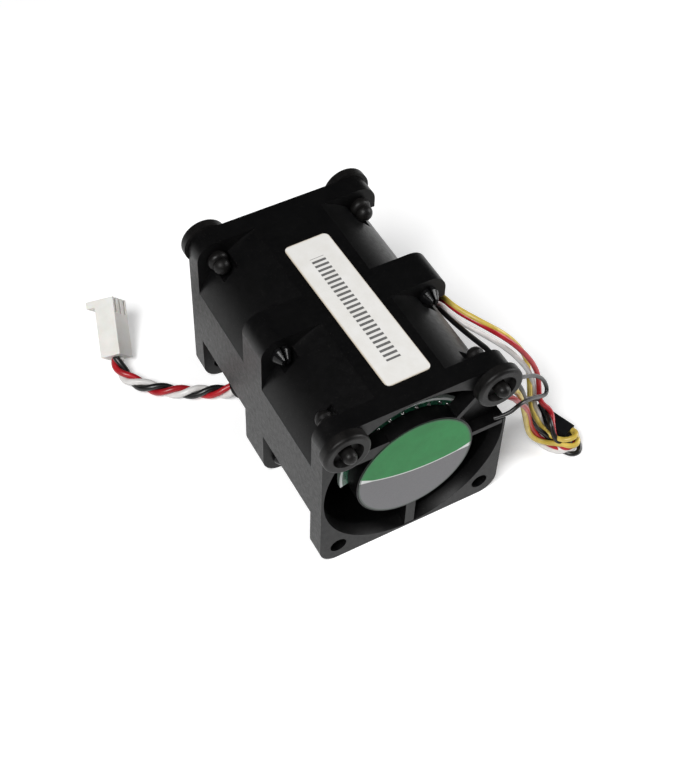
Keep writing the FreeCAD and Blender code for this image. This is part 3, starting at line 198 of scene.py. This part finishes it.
def metal(name, colour, rough, scratch_scale):
    """Bare metal with fine marks from turning or rolling."""
    p = Paint(name)
    lines = p.noise(scratch_scale, 3.0, 0.6, p.moved(scale=(1.0, 14.0, 1.0)))
    p.colour(p.mix(p.ramp(lines, (0.3, 0.0), (0.7, 1.0)), tuple(c * 0.72 for c in colour), colour))
    p.roughness(p.ramp(lines, (0.3, rough - 0.06), (0.7, rough + 0.1)))
    p.set(Metallic=1.0)
    p.bump(lines, 0.25, 0.00002)
    return p


def insulation(name, colour, shade):
    """Extruded insulation: smooth, slightly waxy, a little uneven in colour along its length."""
    p = Paint(name)
    cloud = p.noise(420.0, 3.0, 0.5)
    fine = p.noise(3600.0, 2.0, 0.5)
    p.colour(p.mix(p.ramp(cloud, (0.35, 0.0), (0.68, 1.0)), shade, colour))
    p.roughness(p.ramp(fine, (0.3, 0.3), (0.7, 0.42)))
    p.set(Coat_Weight=0.15, Coat_Roughness=0.25)
    p.bump(fine, 0.2, 0.00002)
    return p


# The round label: its print is turned a little, and the line between its two fields is bowed.
LABEL_TURN = math.radians(-7.0)
LABEL_SHIFT = (-FAN_AXIS * math.sin(LABEL_TURN), 0.0, -FAN_AXIS * math.cos(LABEL_TURN))
LABEL_SPLIT = 0.0012
LABEL_BOW = 14.0
LABEL_RIM = 0.01195
# half the width of the pale line at its middle, and how it widens towards its ends
LINE_HALF = 0.00013
LINE_FLARE = 0.16
LINE_WAIST = 0.00135


def round_label():
    """Green over grey, with a thin pale line between them and a darker rim. It carries no print."""
    p = Paint("round_label")
    x, _, z = p.axes(p.moved(LABEL_SHIFT, turn=(0.0, LABEL_TURN, 0.0)))
    fine = p.noise(6000.0, 3.0, 0.6)
    cloud = p.noise(260.0, 4.0, 0.6)
    green = p.mix(p.ramp(cloud, (0.3, 0.0), (0.7, 1.0)), (0.010, 0.185, 0.042), (0.015, 0.235, 0.056))
    grey = p.mix(p.ramp(fine, (0.3, 0.0), (0.7, 1.0)), (0.150, 0.148, 0.156), (0.195, 0.192, 0.200))
    bow = p.math("MULTIPLY", p.math("MULTIPLY", x, x), LABEL_BOW)
    edge = p.math("SUBTRACT", p.math("ADD", z, LABEL_SPLIT), bow)
    field = p.mix(p.above(edge, 0.0), grey, green)
    flare = p.math("MULTIPLY", p.math("ABSOLUTE", x), LINE_FLARE)
    half = p.math("MAXIMUM", p.math("SUBTRACT", flare, LINE_WAIST), LINE_HALF)
    line = p.above(p.math("SUBTRACT", half, p.math("ABSOLUTE", edge)), 0.0)
    field = p.mix(line, field, (0.72, 0.73, 0.72))
    rim = p.above(p.distance(x, z), LABEL_RIM)
    p.colour(p.mix(p.math("MULTIPLY", rim, 0.65), field, (0.05, 0.08, 0.06)))
    p.roughness(p.ramp(fine, (0.3, 0.34), (0.7, 0.46)))
    p.set(Specular_IOR_Level=DULL_GLOSS)
    p.bump(cloud, 0.15, 0.00003)
    return p


# The strip label, and the lane of even bars along its middle.
STICKER_MIDDLE = (-0.0002, 0.0032, 0.0)
STICKER_TURN = math.radians(1.2)
STICKER_HALF_WIDTH = 0.00485
STICKER_HALF_LENGTH = 0.0195
BAR_LANE_SIDE = -0.0003
BAR_LANE_HALF = 0.0015
BAR_RUN_HALF = 0.0144
BAR_PITCH = 0.0012
# whole pitches that keep the count of bars away from zero
BAR_START = 1.0


def even_bars(p, x, y):
    """1 on the bars and 0 off them: they are all alike, and spell nothing."""
    aside = p.math("ABSOLUTE", p.math("SUBTRACT", x, BAR_LANE_SIDE))
    lane = p.math("SUBTRACT", BAR_LANE_HALF, aside)
    run = p.math("SUBTRACT", BAR_RUN_HALF, p.math("ABSOLUTE", y))
    step = p.math("PINGPONG", p.math("ADD", y, BAR_START), BAR_PITCH / 2)
    return p.math("MULTIPLY", p.above(p.math("MINIMUM", lane, run), 0.0), p.above(step, BAR_PITCH / 4))


def strip_label():
    """White label stock with plain dark bars, yellowed at its cut edges."""
    p = Paint("strip_label")
    x, y, _ = p.axes(p.moved(STICKER_MIDDLE, turn=(0.0, 0.0, -STICKER_TURN)))
    fine = p.noise(5200.0, 4.0, 0.6)
    cloud = p.noise(300.0, 4.0, 0.6)
    paper = p.mix(p.ramp(cloud, (0.3, 0.0), (0.7, 1.0)), (0.78, 0.765, 0.73), (0.84, 0.83, 0.81))
    from_side = p.math("SUBTRACT", STICKER_HALF_WIDTH, p.math("ABSOLUTE", x))
    from_end = p.math("SUBTRACT", STICKER_HALF_LENGTH, p.math("ABSOLUTE", y))
    ragged = p.math("MULTIPLY_ADD", fine, 0.0003, p.math("MINIMUM", from_side, from_end))
    aged = p.math("SUBTRACT", 1.0, p.above(ragged, 0.00030, 0.0004))
    paper = p.mix(p.math("MULTIPLY", aged, 0.75), paper, (0.50, 0.40, 0.26))
    ink = p.math("MULTIPLY", even_bars(p, x, y), p.ramp(fine, (0.3, 0.92), (0.7, 0.80)))
    p.colour(p.mix(ink, paper, (0.030, 0.030, 0.033)))
    p.roughness(p.ramp(fine, (0.3, 0.45), (0.7, 0.6)))
    p.bump(fine, 0.2, 0.00003)
    return p


# From the fan axis to the pale ring along the board's edge, which is a painted highlight on the board's
# shaded rim.
BOARD_PAINTED_HIGHLIGHT_RING = 0.01375


def laminate():
    """Green solder mask over the board's weave and lanes, a pale ring near its edge that is a painted
    highlight, and pale cut edges.
    """
    p = Paint("board_laminate")
    x, _, z = p.axes()
    weave = p.noise(2600.0, 3.0, 0.5)
    lanes = p.cell_edges(620.0)
    mask = p.mix(p.ramp(weave, (0.3, 0.0), (0.7, 1.0)), (0.010, 0.075, 0.040), (0.018, 0.115, 0.062))
    mask = p.mix(p.ramp(lanes, (0.03, 1.0), (0.09, 0.0)), mask, (0.030, 0.19, 0.10))
    reach = p.distance(x, p.math("SUBTRACT", z, FAN_AXIS))
    # painted highlight: a pale ring along the board's outer edge, where the board lies deep in shade
    mask = p.mix(p.above(reach, BOARD_PAINTED_HIGHLIGHT_RING), mask, (0.80, 0.84, 0.82))
    normal = p.new("ShaderNodeNewGeometry").outputs["Normal"]
    facing = p.math("ABSOLUTE", p.axes(normal)[1])
    edge = p.math("SUBTRACT", 1.0, p.above(facing, 0.5, 0.1))
    p.colour(p.mix(edge, mask, (0.62, 0.72, 0.66)))
    p.roughness(p.ramp(weave, (0.3, 0.25), (0.7, 0.4)))
    p.set(Coat_Weight=0.25, Coat_Roughness=0.2)
    p.bump(lanes, 0.3, 0.00003)
    return p


def wound_copper():
    """Enamelled wire, turn beside turn."""
    p = Paint("wound_copper")
    turns = p.bands("DIAGONAL", 900.0, 1.2)
    p.colour(p.mix(turns, (0.22, 0.055, 0.018), (0.72, 0.28, 0.10)))
    p.set(Metallic=0.8)
    p.roughness(p.ramp(turns, (0.2, 0.42), (0.8, 0.26)))
    p.bump(turns, 0.6, 0.00006)
    return p


def stacked_sheets():
    """Punched steel sheets seen edge on."""
    p = Paint("stacked_sheets")
    sheets = p.bands("Y", 620.0)
    fine = p.noise(2400.0, 3.0, 0.6)
    p.colour(p.mix(sheets, (0.10, 0.10, 0.105), (0.42, 0.42, 0.44)))
    p.set(Metallic=1.0)
    p.roughness(p.ramp(fine, (0.3, 0.35), (0.7, 0.55)))
    p.bump(sheets, 0.5, 0.00004)
    return p


def nylon(name, colour, shade, glow):
    """Moulded nylon that lets a little light through."""
    p = Paint(name)
    cloud = p.noise(380.0, 4.0, 0.55)
    fine = p.noise(4200.0, 3.0, 0.6)
    p.colour(p.mix(p.ramp(cloud, (0.3, 0.0), (0.7, 1.0)), shade, colour))
    p.roughness(p.ramp(fine, (0.3, 0.38), (0.7, 0.52)))
    p.set(Subsurface_Weight=glow, Subsurface_Scale=0.0012)
    p.bump(fine, 0.25, 0.00002)
    return p


def soft_rubber(name, dark, light):
    """Soft rubber: matt, finely pitted, with paler dust caught in it."""
    p = Paint(name)
    fine = p.noise(3800.0, 5.0, 0.7)
    cloud = p.noise(420.0, 4.0, 0.6)
    base = p.mix(p.ramp(cloud, (0.35, 0.0), (0.7, 1.0)), dark, light)
    dust = p.ramp(fine, (0.62, 0.0), (0.75, 0.35))
    p.colour(p.mix(dust, base, (0.12, 0.11, 0.10)))
    p.roughness(p.ramp(cloud, (0.3, 0.36), (0.7, 0.5)))
    p.set(Specular_IOR_Level=DULL_GLOSS)
    p.bump(p.math("ADD", fine, p.math("MULTIPLY", cloud, 1.5)), 0.4, 0.00005)
    return p


# ---------------------------------------------------------------- finishes of the CAD nodes

FRAME_PLASTIC = moulded("frame_plastic", (0.0014, 0.0014, 0.0016), (0.0036, 0.0035, 0.0036), 0.38, 0.25)
# The blades' black is lighter than the frame's: painted light, which makes up for the shade inside the bore.
BRIGHTENED_BLADE_PLASTIC = moulded("blade_plastic_painted_light", (0.0040, 0.0040, 0.0044), (0.0095, 0.0095, 0.0100), 0.33)
CHIP_PLASTIC = moulded("chip_plastic", (0.010, 0.010, 0.011), (0.022, 0.022, 0.023), 0.5)
GLOSS_NYLON = moulded("gloss_nylon", (0.0030, 0.0030, 0.0033), (0.0070, 0.0070, 0.0074), 0.17)
SOCKET_PLASTIC = moulded("socket_plastic", (0.0040, 0.0042, 0.0048), (0.0100, 0.0105, 0.0115), 0.34)
PIN_RUBBER = soft_rubber("pin_rubber", (0.0040, 0.0038, 0.0038), (0.0095, 0.0088, 0.0084))
WHITE_NYLON = nylon("white_nylon", (0.86, 0.845, 0.81), (0.79, 0.77, 0.725), 0.12)
RAW_NYLON = nylon("raw_nylon", (0.74, 0.71, 0.62), (0.62, 0.59, 0.50), 0.10)
TURNED_STEEL = metal("turned_steel", (0.62, 0.62, 0.64), 0.22, 1500.0)
DRAWN_STEEL = metal("drawn_steel", (0.50, 0.50, 0.52), 0.34, 900.0)
TINNED = metal("tinned_brass", (0.72, 0.66, 0.50), 0.28, 1800.0)
SOLDER = metal("solder", (0.78, 0.78, 0.76), 0.18, 1200.0)
FERRITE = soft_rubber("bonded_ferrite", (0.018, 0.017, 0.016), (0.035, 0.033, 0.031))

YELLOW = insulation("yellow_insulation", (0.70, 0.53, 0.105), (0.52, 0.37, 0.055))
RED = insulation("red_insulation", (0.48, 0.010, 0.018), (0.33, 0.006, 0.012))
WHITE = insulation("white_insulation", (0.80, 0.785, 0.77), (0.70, 0.68, 0.66))
BLACK = insulation("black_insulation", (0.0065, 0.0060, 0.0062), (0.0040, 0.0038, 0.0040))
LEAD_PAINT = {"yellow": YELLOW, "red": RED, "white": WHITE, "black": BLACK}

SLOT_PAINT = {
    "frame_plastic": FRAME_PLASTIC,
    "impeller_plastic": BRIGHTENED_BLADE_PLASTIC,
    "board_laminate": laminate(),
    "component_black": CHIP_PLASTIC,
    "silicon_steel": stacked_sheets(),
    "copper_winding": wound_copper(),
    "insulator_plastic": RAW_NYLON,
    "bearing_steel": TURNED_STEEL,
    "spring_steel": TURNED_STEEL,
    "shaft_steel": TURNED_STEEL,
    "cup_steel": DRAWN_STEEL,
    "magnet_rubber": FERRITE,
    "label_print": round_label(),
    "sticker_paper": strip_label(),
    "pin_rubber": PIN_RUBBER,
    "snap_plastic": GLOSS_NYLON,
    "lead_yellow": YELLOW,
    "lead_red": RED,
    "lead_white": WHITE,
    "lead_black": BLACK,
    "lead_mixed": RED,
    "connector_white": WHITE_NYLON,
    "connector_black": SOCKET_PLASTIC,
    "terminal_metal": TINNED,
}


def finish_nodes():
    """Give every CAD node the finish of its material slot in the record."""
    slot_of = {part["node"]: part["material_slot"] for part in frame["record"]["subparts"]}
    for name, node in frame["nodes"].items():
        finish = SLOT_PAINT[slot_of[name]].material
        for slot in node.material_slots:
            slot.material = finish


# ---------------------------------------------------------------- leads


def spline(name, route, radius):
    """A round lead along a smooth line that the route's points steer."""
    curve = bpy.data.curves.new(name, "CURVE")
    curve.dimensions = "3D"
    line = curve.splines.new("NURBS")
    line.points.add(len(route) - 1)
    for point, spot in zip(line.points, route):
        point.co = (*spot, 1.0)
    line.order_u = 3
    line.use_endpoint_u = True
    line.resolution_u = 12
    curve.bevel_depth = radius
    curve.bevel_resolution = 5
    curve.use_fill_caps = True
    piece = bpy.data.objects.new(name, curve)
    bpy.context.scene.collection.objects.link(piece)
    return piece


def centreline(piece):
    """Points read from the line of a lead."""
    curve = piece.data.copy()
    curve.bevel_depth = 0.0
    bare = bpy.data.objects.new("centreline", curve)
    mesh = bpy.data.meshes.new_from_object(bare)
    points = [vertex.co.copy() for vertex in mesh.vertices]
    bpy.data.objects.remove(bare)
    bpy.data.curves.remove(curve)
    bpy.data.meshes.remove(mesh)
    return points


def run_length(points):
    """Length of a line through points."""
    return sum((b - a).length for a, b in zip(points, points[1:]))


def paint(piece, material):
    """Add a finish to a piece, and hand the piece back."""
    piece.data.materials.append(material.material)
    return piece


# Each lead of the right side, from the notch that it leaves, down and round the fold, into the black
# connector. The rear fan's leads start in the joint, the front fan's in the front flange.
LEAD_ROUTES = {
    "rear_yellow": [
        (20.1, 1.7, 28.8), (21.9, 0.5, 29.0), (23.0, -3.6, 28.3), (25.8, -9.0, 28.0),
        (29.8, -12.2, 25.3), (33.0, -13.4, 20.8), (35.2, -13.8, 16.0), (35.0, -15.8, 12.0),
        (33.6, -18.4, 10.4), (32.8, -19.8, 9.0), (33.4, -21.2, 6.8), (34.4, -22.6, 4.6),
        (35.2, -24.2, 3.2), (36.2, -26.4, 3.4), (37.6, -28.0, 4.2), (39.4, -28.1, 4.6),
        (40.2, -26.8, 4.2), (39.9, -25.7, 3.6),
    ],
    "rear_red": [
        (20.1, 1.7, 27.6), (21.9, 0.2, 28.3), (23.1, -4.5, 27.8), (26.1, -9.8, 27.3),
        (30.3, -13.4, 24.2), (34.2, -15.4, 19.0), (36.4, -16.4, 14.0), (36.3, -17.6, 10.8),
        (35.6, -19.1, 9.2), (36.0, -20.1, 8.0), (37.3, -20.9, 6.6), (37.5, -21.9, 5.4),
        (36.8, -23.2, 5.0), (36.1, -24.8, 4.0), (36.2, -26.4, 2.6), (36.8, -27.9, 1.8),
        (38.5, -28.4, 1.6), (39.8, -27.2, 1.8), (39.5, -25.6, 2.0),
    ],
    "rear_white": [
        (20.1, 1.7, 26.4), (21.9, 0.4, 26.5), (23.4, -4.0, 24.6), (26.6, -9.0, 23.8),
        (30.6, -12.6, 20.8), (33.8, -15.0, 16.4), (35.4, -16.4, 12.4), (35.2, -17.8, 8.8),
        (34.6, -19.2, 7.4), (35.1, -20.6, 5.8), (35.0, -22.4, 3.4), (35.2, -24.6, 1.7),
        (35.9, -26.6, 1.0), (37.0, -28.2, 0.8), (38.7, -28.5, 0.8), (39.9, -27.2, 0.9),
        (39.5, -25.6, 1.0),
    ],
    "rear_black": [
        (20.1, 1.7, 25.2), (21.6, 0.4, 25.2), (21.4, -5.0, 26.8), (21.2, -10.0, 28.6),
        (20.9, -15.0, 30.8), (20.6, -19.6, 33.0), (20.4, -23.4, 31.0), (23.2, -23.6, 25.4),
        (27.4, -22.6, 18.6), (31.2, -20.9, 13.2), (34.8, -19.2, 10.0), (36.7, -18.8, 7.2),
        (36.9, -20.0, 5.5), (36.4, -21.8, 5.7), (35.8, -23.6, 6.1), (35.5, -25.2, 4.6),
        (36.0, -26.6, 2.8), (37.4, -27.8, 2.0), (39.1, -27.5, 2.2), (39.5, -25.7, 2.4),
    ],
    "front_yellow": [
        (20.1, -26.3, 28.6), (22.6, -25.8, 27.4), (24.8, -25.4, 23.6), (26.5, -24.9, 18.6),
        (28.2, -24.6, 12.6), (29.7, -24.2, 7.4), (31.6, -24.2, 3.8), (34.0, -25.4, 2.4),
        (36.3, -27.0, 2.5), (38.3, -28.7, 2.3), (40.0, -28.5, 2.2), (40.6, -27.1, 2.6),
        (40.2, -25.7, 3.1),
    ],
    "front_red": [
        (20.1, -26.3, 27.2), (22.0, -26.6, 26.0), (24.0, -26.2, 22.8), (26.7, -25.4, 19.0),
        (28.9, -24.3, 13.6), (30.6, -23.5, 8.2), (32.4, -23.4, 4.2), (34.3, -24.8, 1.8),
        (36.1, -27.1, 0.8), (37.8, -28.3, 1.0), (39.3, -27.9, 1.1), (39.8, -26.7, 1.2),
        (39.7, -25.8, 1.2),
    ],
    "front_white": [
        (20.1, -26.3, 29.9), (22.4, -25.6, 28.4), (25.0, -24.8, 23.0), (27.9, -23.2, 16.2),
        (29.9, -22.2, 10.6), (31.6, -22.4, 5.6), (33.0, -23.6, 1.7), (34.2, -25.6, 0.7),
        (35.6, -27.3, 0.6), (37.2, -27.9, 0.6), (38.4, -27.2, 0.8), (38.3, -26.2, 1.0),
    ],
    "front_black": [
        (20.1, -26.3, 31.2), (22.6, -25.4, 29.8), (25.8, -24.6, 23.8), (28.2, -23.8, 16.6),
        (29.9, -22.9, 11.2), (31.3, -22.2, 7.4), (32.8, -22.9, 5.2), (34.4, -24.2, 3.8),
        (35.6, -25.4, 1.7), (36.8, -27.6, 0.6), (38.0, -29.4, 0.6), (39.7, -29.6, 0.6),
        (40.8, -28.2, 0.7), (40.9, -26.6, 1.4), (40.1, -25.6, 2.0),
    ],
}
TIE_ROUTE = [
    (17.6, -27.4, 23.15), (19.8, -28.6, 24.2), (22.6, -28.4, 25.8), (26.4, -27.0, 23.6), (30.0, -25.6, 20.4),
    (31.9, -24.9, 19.2), (32.6, -23.9, 20.0), (31.6, -23.4, 22.6), (29.0, -23.8, 25.6), (26.2, -24.8, 28.0),
    (23.4, -26.0, 30.6), (21.2, -26.8, 31.4),
]
STRAND_PAINT = (BLACK, WHITE, RED)
TWISTED_ROUTE = [
    (-15.6, 15.6, 4.1), (-17.6, 16.8, 2.1), (-21.2, 19.2, 1.55), (-27.0, 22.0, 1.55),
    (-32.6, 26.6, 1.55), (-36.15, 32.34, 1.6), (-35.2, 35.36, 3.32),
]


def single_leads():
    """The eight leads of the right side. The front yellow one stands for the fold's solid as well."""
    for name, points in LEAD_ROUTES.items():
        colour = name.split("_")[1]
        route = mm(points)
        piece = paint(spline(name + "_wire", route, WIRE), LEAD_PAINT[colour])
        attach(piece, "housing")
        replaced = [name + "_lead"]
        if name == "front_yellow":
            replaced.append("lead_fold")
        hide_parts(*replaced)
        run_length(centreline(piece))


def tie_loop():
    """The thin loose loop beside the front right pin."""
    route = mm(TIE_ROUTE)
    piece = paint(spline("tie_loop", route, TIE), BLACK)
    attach(piece, "housing")
    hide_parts("lead_tie")
    run_length(centreline(piece))


# ---------------------------------------------------------------- pieces made as meshes


def ring(middle, first, second, radius, sides):
    """Points round a circle in the plane of two directions."""
    turns = [math.tau * k / sides for k in range(sides)]
    return [middle + (first * math.cos(t) + second * math.sin(t)) * radius for t in turns]


def skin(form, rings, number=0):
    """Smooth faces between rings of points, and a flat face over each end."""
    rows = [[form.verts.new(spot) for spot in points] for points in rings]
    faces = [form.faces.new(rows[0][::-1]), form.faces.new(rows[-1])]
    for near, far in zip(rows, rows[1:]):
        for k in range(len(near)):
            after = (k + 1) % len(near)
            faces.append(form.faces.new((near[k], near[after], far[after], far[k])))
            faces[-1].smooth = True
    for face in faces:
        face.material_index = number


def mesh_piece(form, name):
    """The piece that a bmesh makes, on the housing."""
    mesh = bpy.data.meshes.new(name)
    form.to_mesh(mesh)
    form.free()
    piece = bpy.data.objects.new(name, mesh)
    bpy.context.scene.collection.objects.link(piece)
    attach(piece, "housing")
    return piece


STRAND_SIDES = 10


def strand_rings(points, phase):
    """Rings of points round one strand, which winds about the line through the points."""
    rings = []
    side = (points[1] - points[0]).normalized().orthogonal().normalized()
    walked = 0.0
    for number, spot in enumerate(points):
        ahead = points[min(number + 1, len(points) - 1)]
        back = points[max(number - 1, 0)]
        tangent = (ahead - back).normalized()
        side = (side - tangent * side.dot(tangent)).normalized()
        other = tangent.cross(side)
        walked += (spot - points[number - 1]).length if number else 0.0
        angle = phase - math.tau * walked / TWIST_PITCH
        out = side * math.cos(angle) + other * math.sin(angle)
        lean = (side * math.sin(angle) - other * math.cos(angle)) * (math.tau * STRAND_ORBIT / TWIST_PITCH)
        across = (tangent + lean).normalized().cross(out).normalized()
        rings.append(ring(spot + out * STRAND_ORBIT, out, across, STRAND, STRAND_SIDES))
    return rings


def twisted_lead():
    """Three leads twisted about one line, from the collar to the white connector."""
    guide = spline("twist_guide", mm(TWISTED_ROUTE), 0.0)
    points = centreline(guide)
    bpy.data.objects.remove(guide)
    form = bmesh.new()
    for number in range(len(STRAND_PAINT)):
        phase = TWIST_PHASE + math.tau * number / len(STRAND_PAINT)
        skin(form, strand_rings(points, phase), number)
    piece = mesh_piece(form, "twisted_strands")
    for material in STRAND_PAINT:
        paint(piece, material)
    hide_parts("twisted_lead")


# Solder on the front face of the front fan's board: radius and height up one cone, and where each
# cone stands, as an angle about the fan axis in degrees and a reach from it in millimetres.
SOLDER_FACE = -0.02455
SOLDER_SIDES = 12
SOLDER_PROFILE = [(0.00046, 0.0), (0.00040, 0.00010), (0.00024, 0.00026), (0.00012, 0.00044)]
SOLDER_SPOTS = [(121, 12.9), (109, 13.2), (97, 13.1), (84, 13.2), (72, 13.0), (60, 13.2), (50, 12.9)]


def solder_points():
    """Small cones of solder where the legs of the board's parts end."""
    form = bmesh.new()
    across = Vector((1, 0, 0))
    up = Vector((0, 0, 1))
    for angle, reach in SOLDER_SPOTS:
        turn = math.radians(angle)
        spot = (across * math.cos(turn) + up * math.sin(turn)) * reach * MM
        middle = spot + Vector((0, SOLDER_FACE, FAN_AXIS))
        rings = []
        for wide, tall in SOLDER_PROFILE:
            rings.append(ring(middle - Vector((0, tall, 0)), across, up, wide, SOLDER_SIDES))
        skin(form, rings)
    bmesh.ops.recalc_face_normals(form, faces=form.faces)
    piece = paint(mesh_piece(form, "solder_points"), SOLDER)


# ---------------------------------------------------------------- floor, light and camera

VIEW_TURN = math.radians(-29.29)
VIEW_LIFT = math.radians(48.28)
VIEW_ROLL = math.radians(1.35)
VIEW_TARGET = Vector((-0.005056, 0.0, 0.041375))
VIEW_DISTANCE = 0.2756
VIEW_LENS = 68.9
VIEW_SENSOR = 36.0
VIEW_SHIFT = (0.0356, -0.1104)
FLOOR_HALF = 2.5
FLOOR_GLOW = 0.30
ROOM_GLOW = 0.035
LAMP_AIM = Vector((0, 0, 0.02))
LAMP_WIDTH = 0.30


def camera():
    """The camera, turned and placed as for the photograph."""
    back = Vector((
        math.sin(VIEW_TURN) * math.cos(VIEW_LIFT),
        -math.cos(VIEW_TURN) * math.cos(VIEW_LIFT),
        math.sin(VIEW_LIFT),
    ))
    level = Vector((0, 0, 1)).cross(back).normalized()
    lift = back.cross(level)
    right = level * math.cos(VIEW_ROLL) + lift * math.sin(VIEW_ROLL)
    up = lift * math.cos(VIEW_ROLL) - level * math.sin(VIEW_ROLL)
    data = bpy.data.cameras.new("view")
    data.lens = VIEW_LENS
    data.sensor_width = VIEW_SENSOR
    data.shift_x, data.shift_y = VIEW_SHIFT
    data.clip_start = 0.01
    eye = bpy.data.objects.new("view", data)
    turn = Matrix((right, up, back)).transposed().to_4x4()
    eye.matrix_world = Matrix.Translation(VIEW_TARGET + back * VIEW_DISTANCE) @ turn
    bpy.context.scene.collection.objects.link(eye)
    bpy.context.scene.camera = eye


def lamp(name, place, power):
    """A square soft lamp that faces the object."""
    data = bpy.data.lights.new(name, "AREA")
    data.size = LAMP_WIDTH
    data.energy = power
    piece = bpy.data.objects.new(name, data)
    piece.location = place
    piece.rotation_euler = (LAMP_AIM - Vector(place)).to_track_quat("-Z", "Y").to_euler()
    bpy.context.scene.collection.objects.link(piece)


def floor_card():
    """Pale card, which the camera, gloss and glass see a little brighter than the lamps light it."""
    p = Paint("floor_card")
    rays = p.new("ShaderNodeLightPath").outputs
    p.colour(p.mix(p.noise(30.0), (0.90, 0.90, 0.90), (0.93, 0.93, 0.93)))
    p.set(Roughness=0.9, Emission_Color=(1, 1, 1, 1))
    shown = p.math("MAXIMUM", rays["Is Camera Ray"], rays["Is Glossy Ray"])
    shown = p.math("MAXIMUM", shown, rays["Is Transmission Ray"])
    p.link(p.math("MULTIPLY", shown, FLOOR_GLOW), p.shader.inputs["Emission Strength"])
    return p


def studio():
    """A pale floor, a dim white room and two soft lamps."""
    scene = bpy.context.scene
    scene.view_settings.view_transform = "Standard"
    mesh = bpy.data.meshes.new("floor")
    half = FLOOR_HALF
    corners = [(-half, -half, 0), (half, -half, 0), (half, half, 0), (-half, half, 0)]
    mesh.from_pydata(corners, [], [(0, 1, 2, 3)])
    floor = bpy.data.objects.new("floor", mesh)
    scene.collection.objects.link(floor)
    paint(floor, floor_card())
    world = bpy.data.worlds.new("room")
    world.use_nodes = True
    world.node_tree.nodes["Background"].inputs["Color"].default_value = (1, 1, 1, 1)
    world.node_tree.nodes["Background"].inputs["Strength"].default_value = ROOM_GLOW
    scene.world = world
    lamp("key", (-0.36, -0.22, 0.60), 4.9)
    lamp("fill", (0.60, -0.15, 0.28), 2.8)


camera()
finish_nodes()
single_leads()
tie_loop()
twisted_lead()
solder_points()
studio()
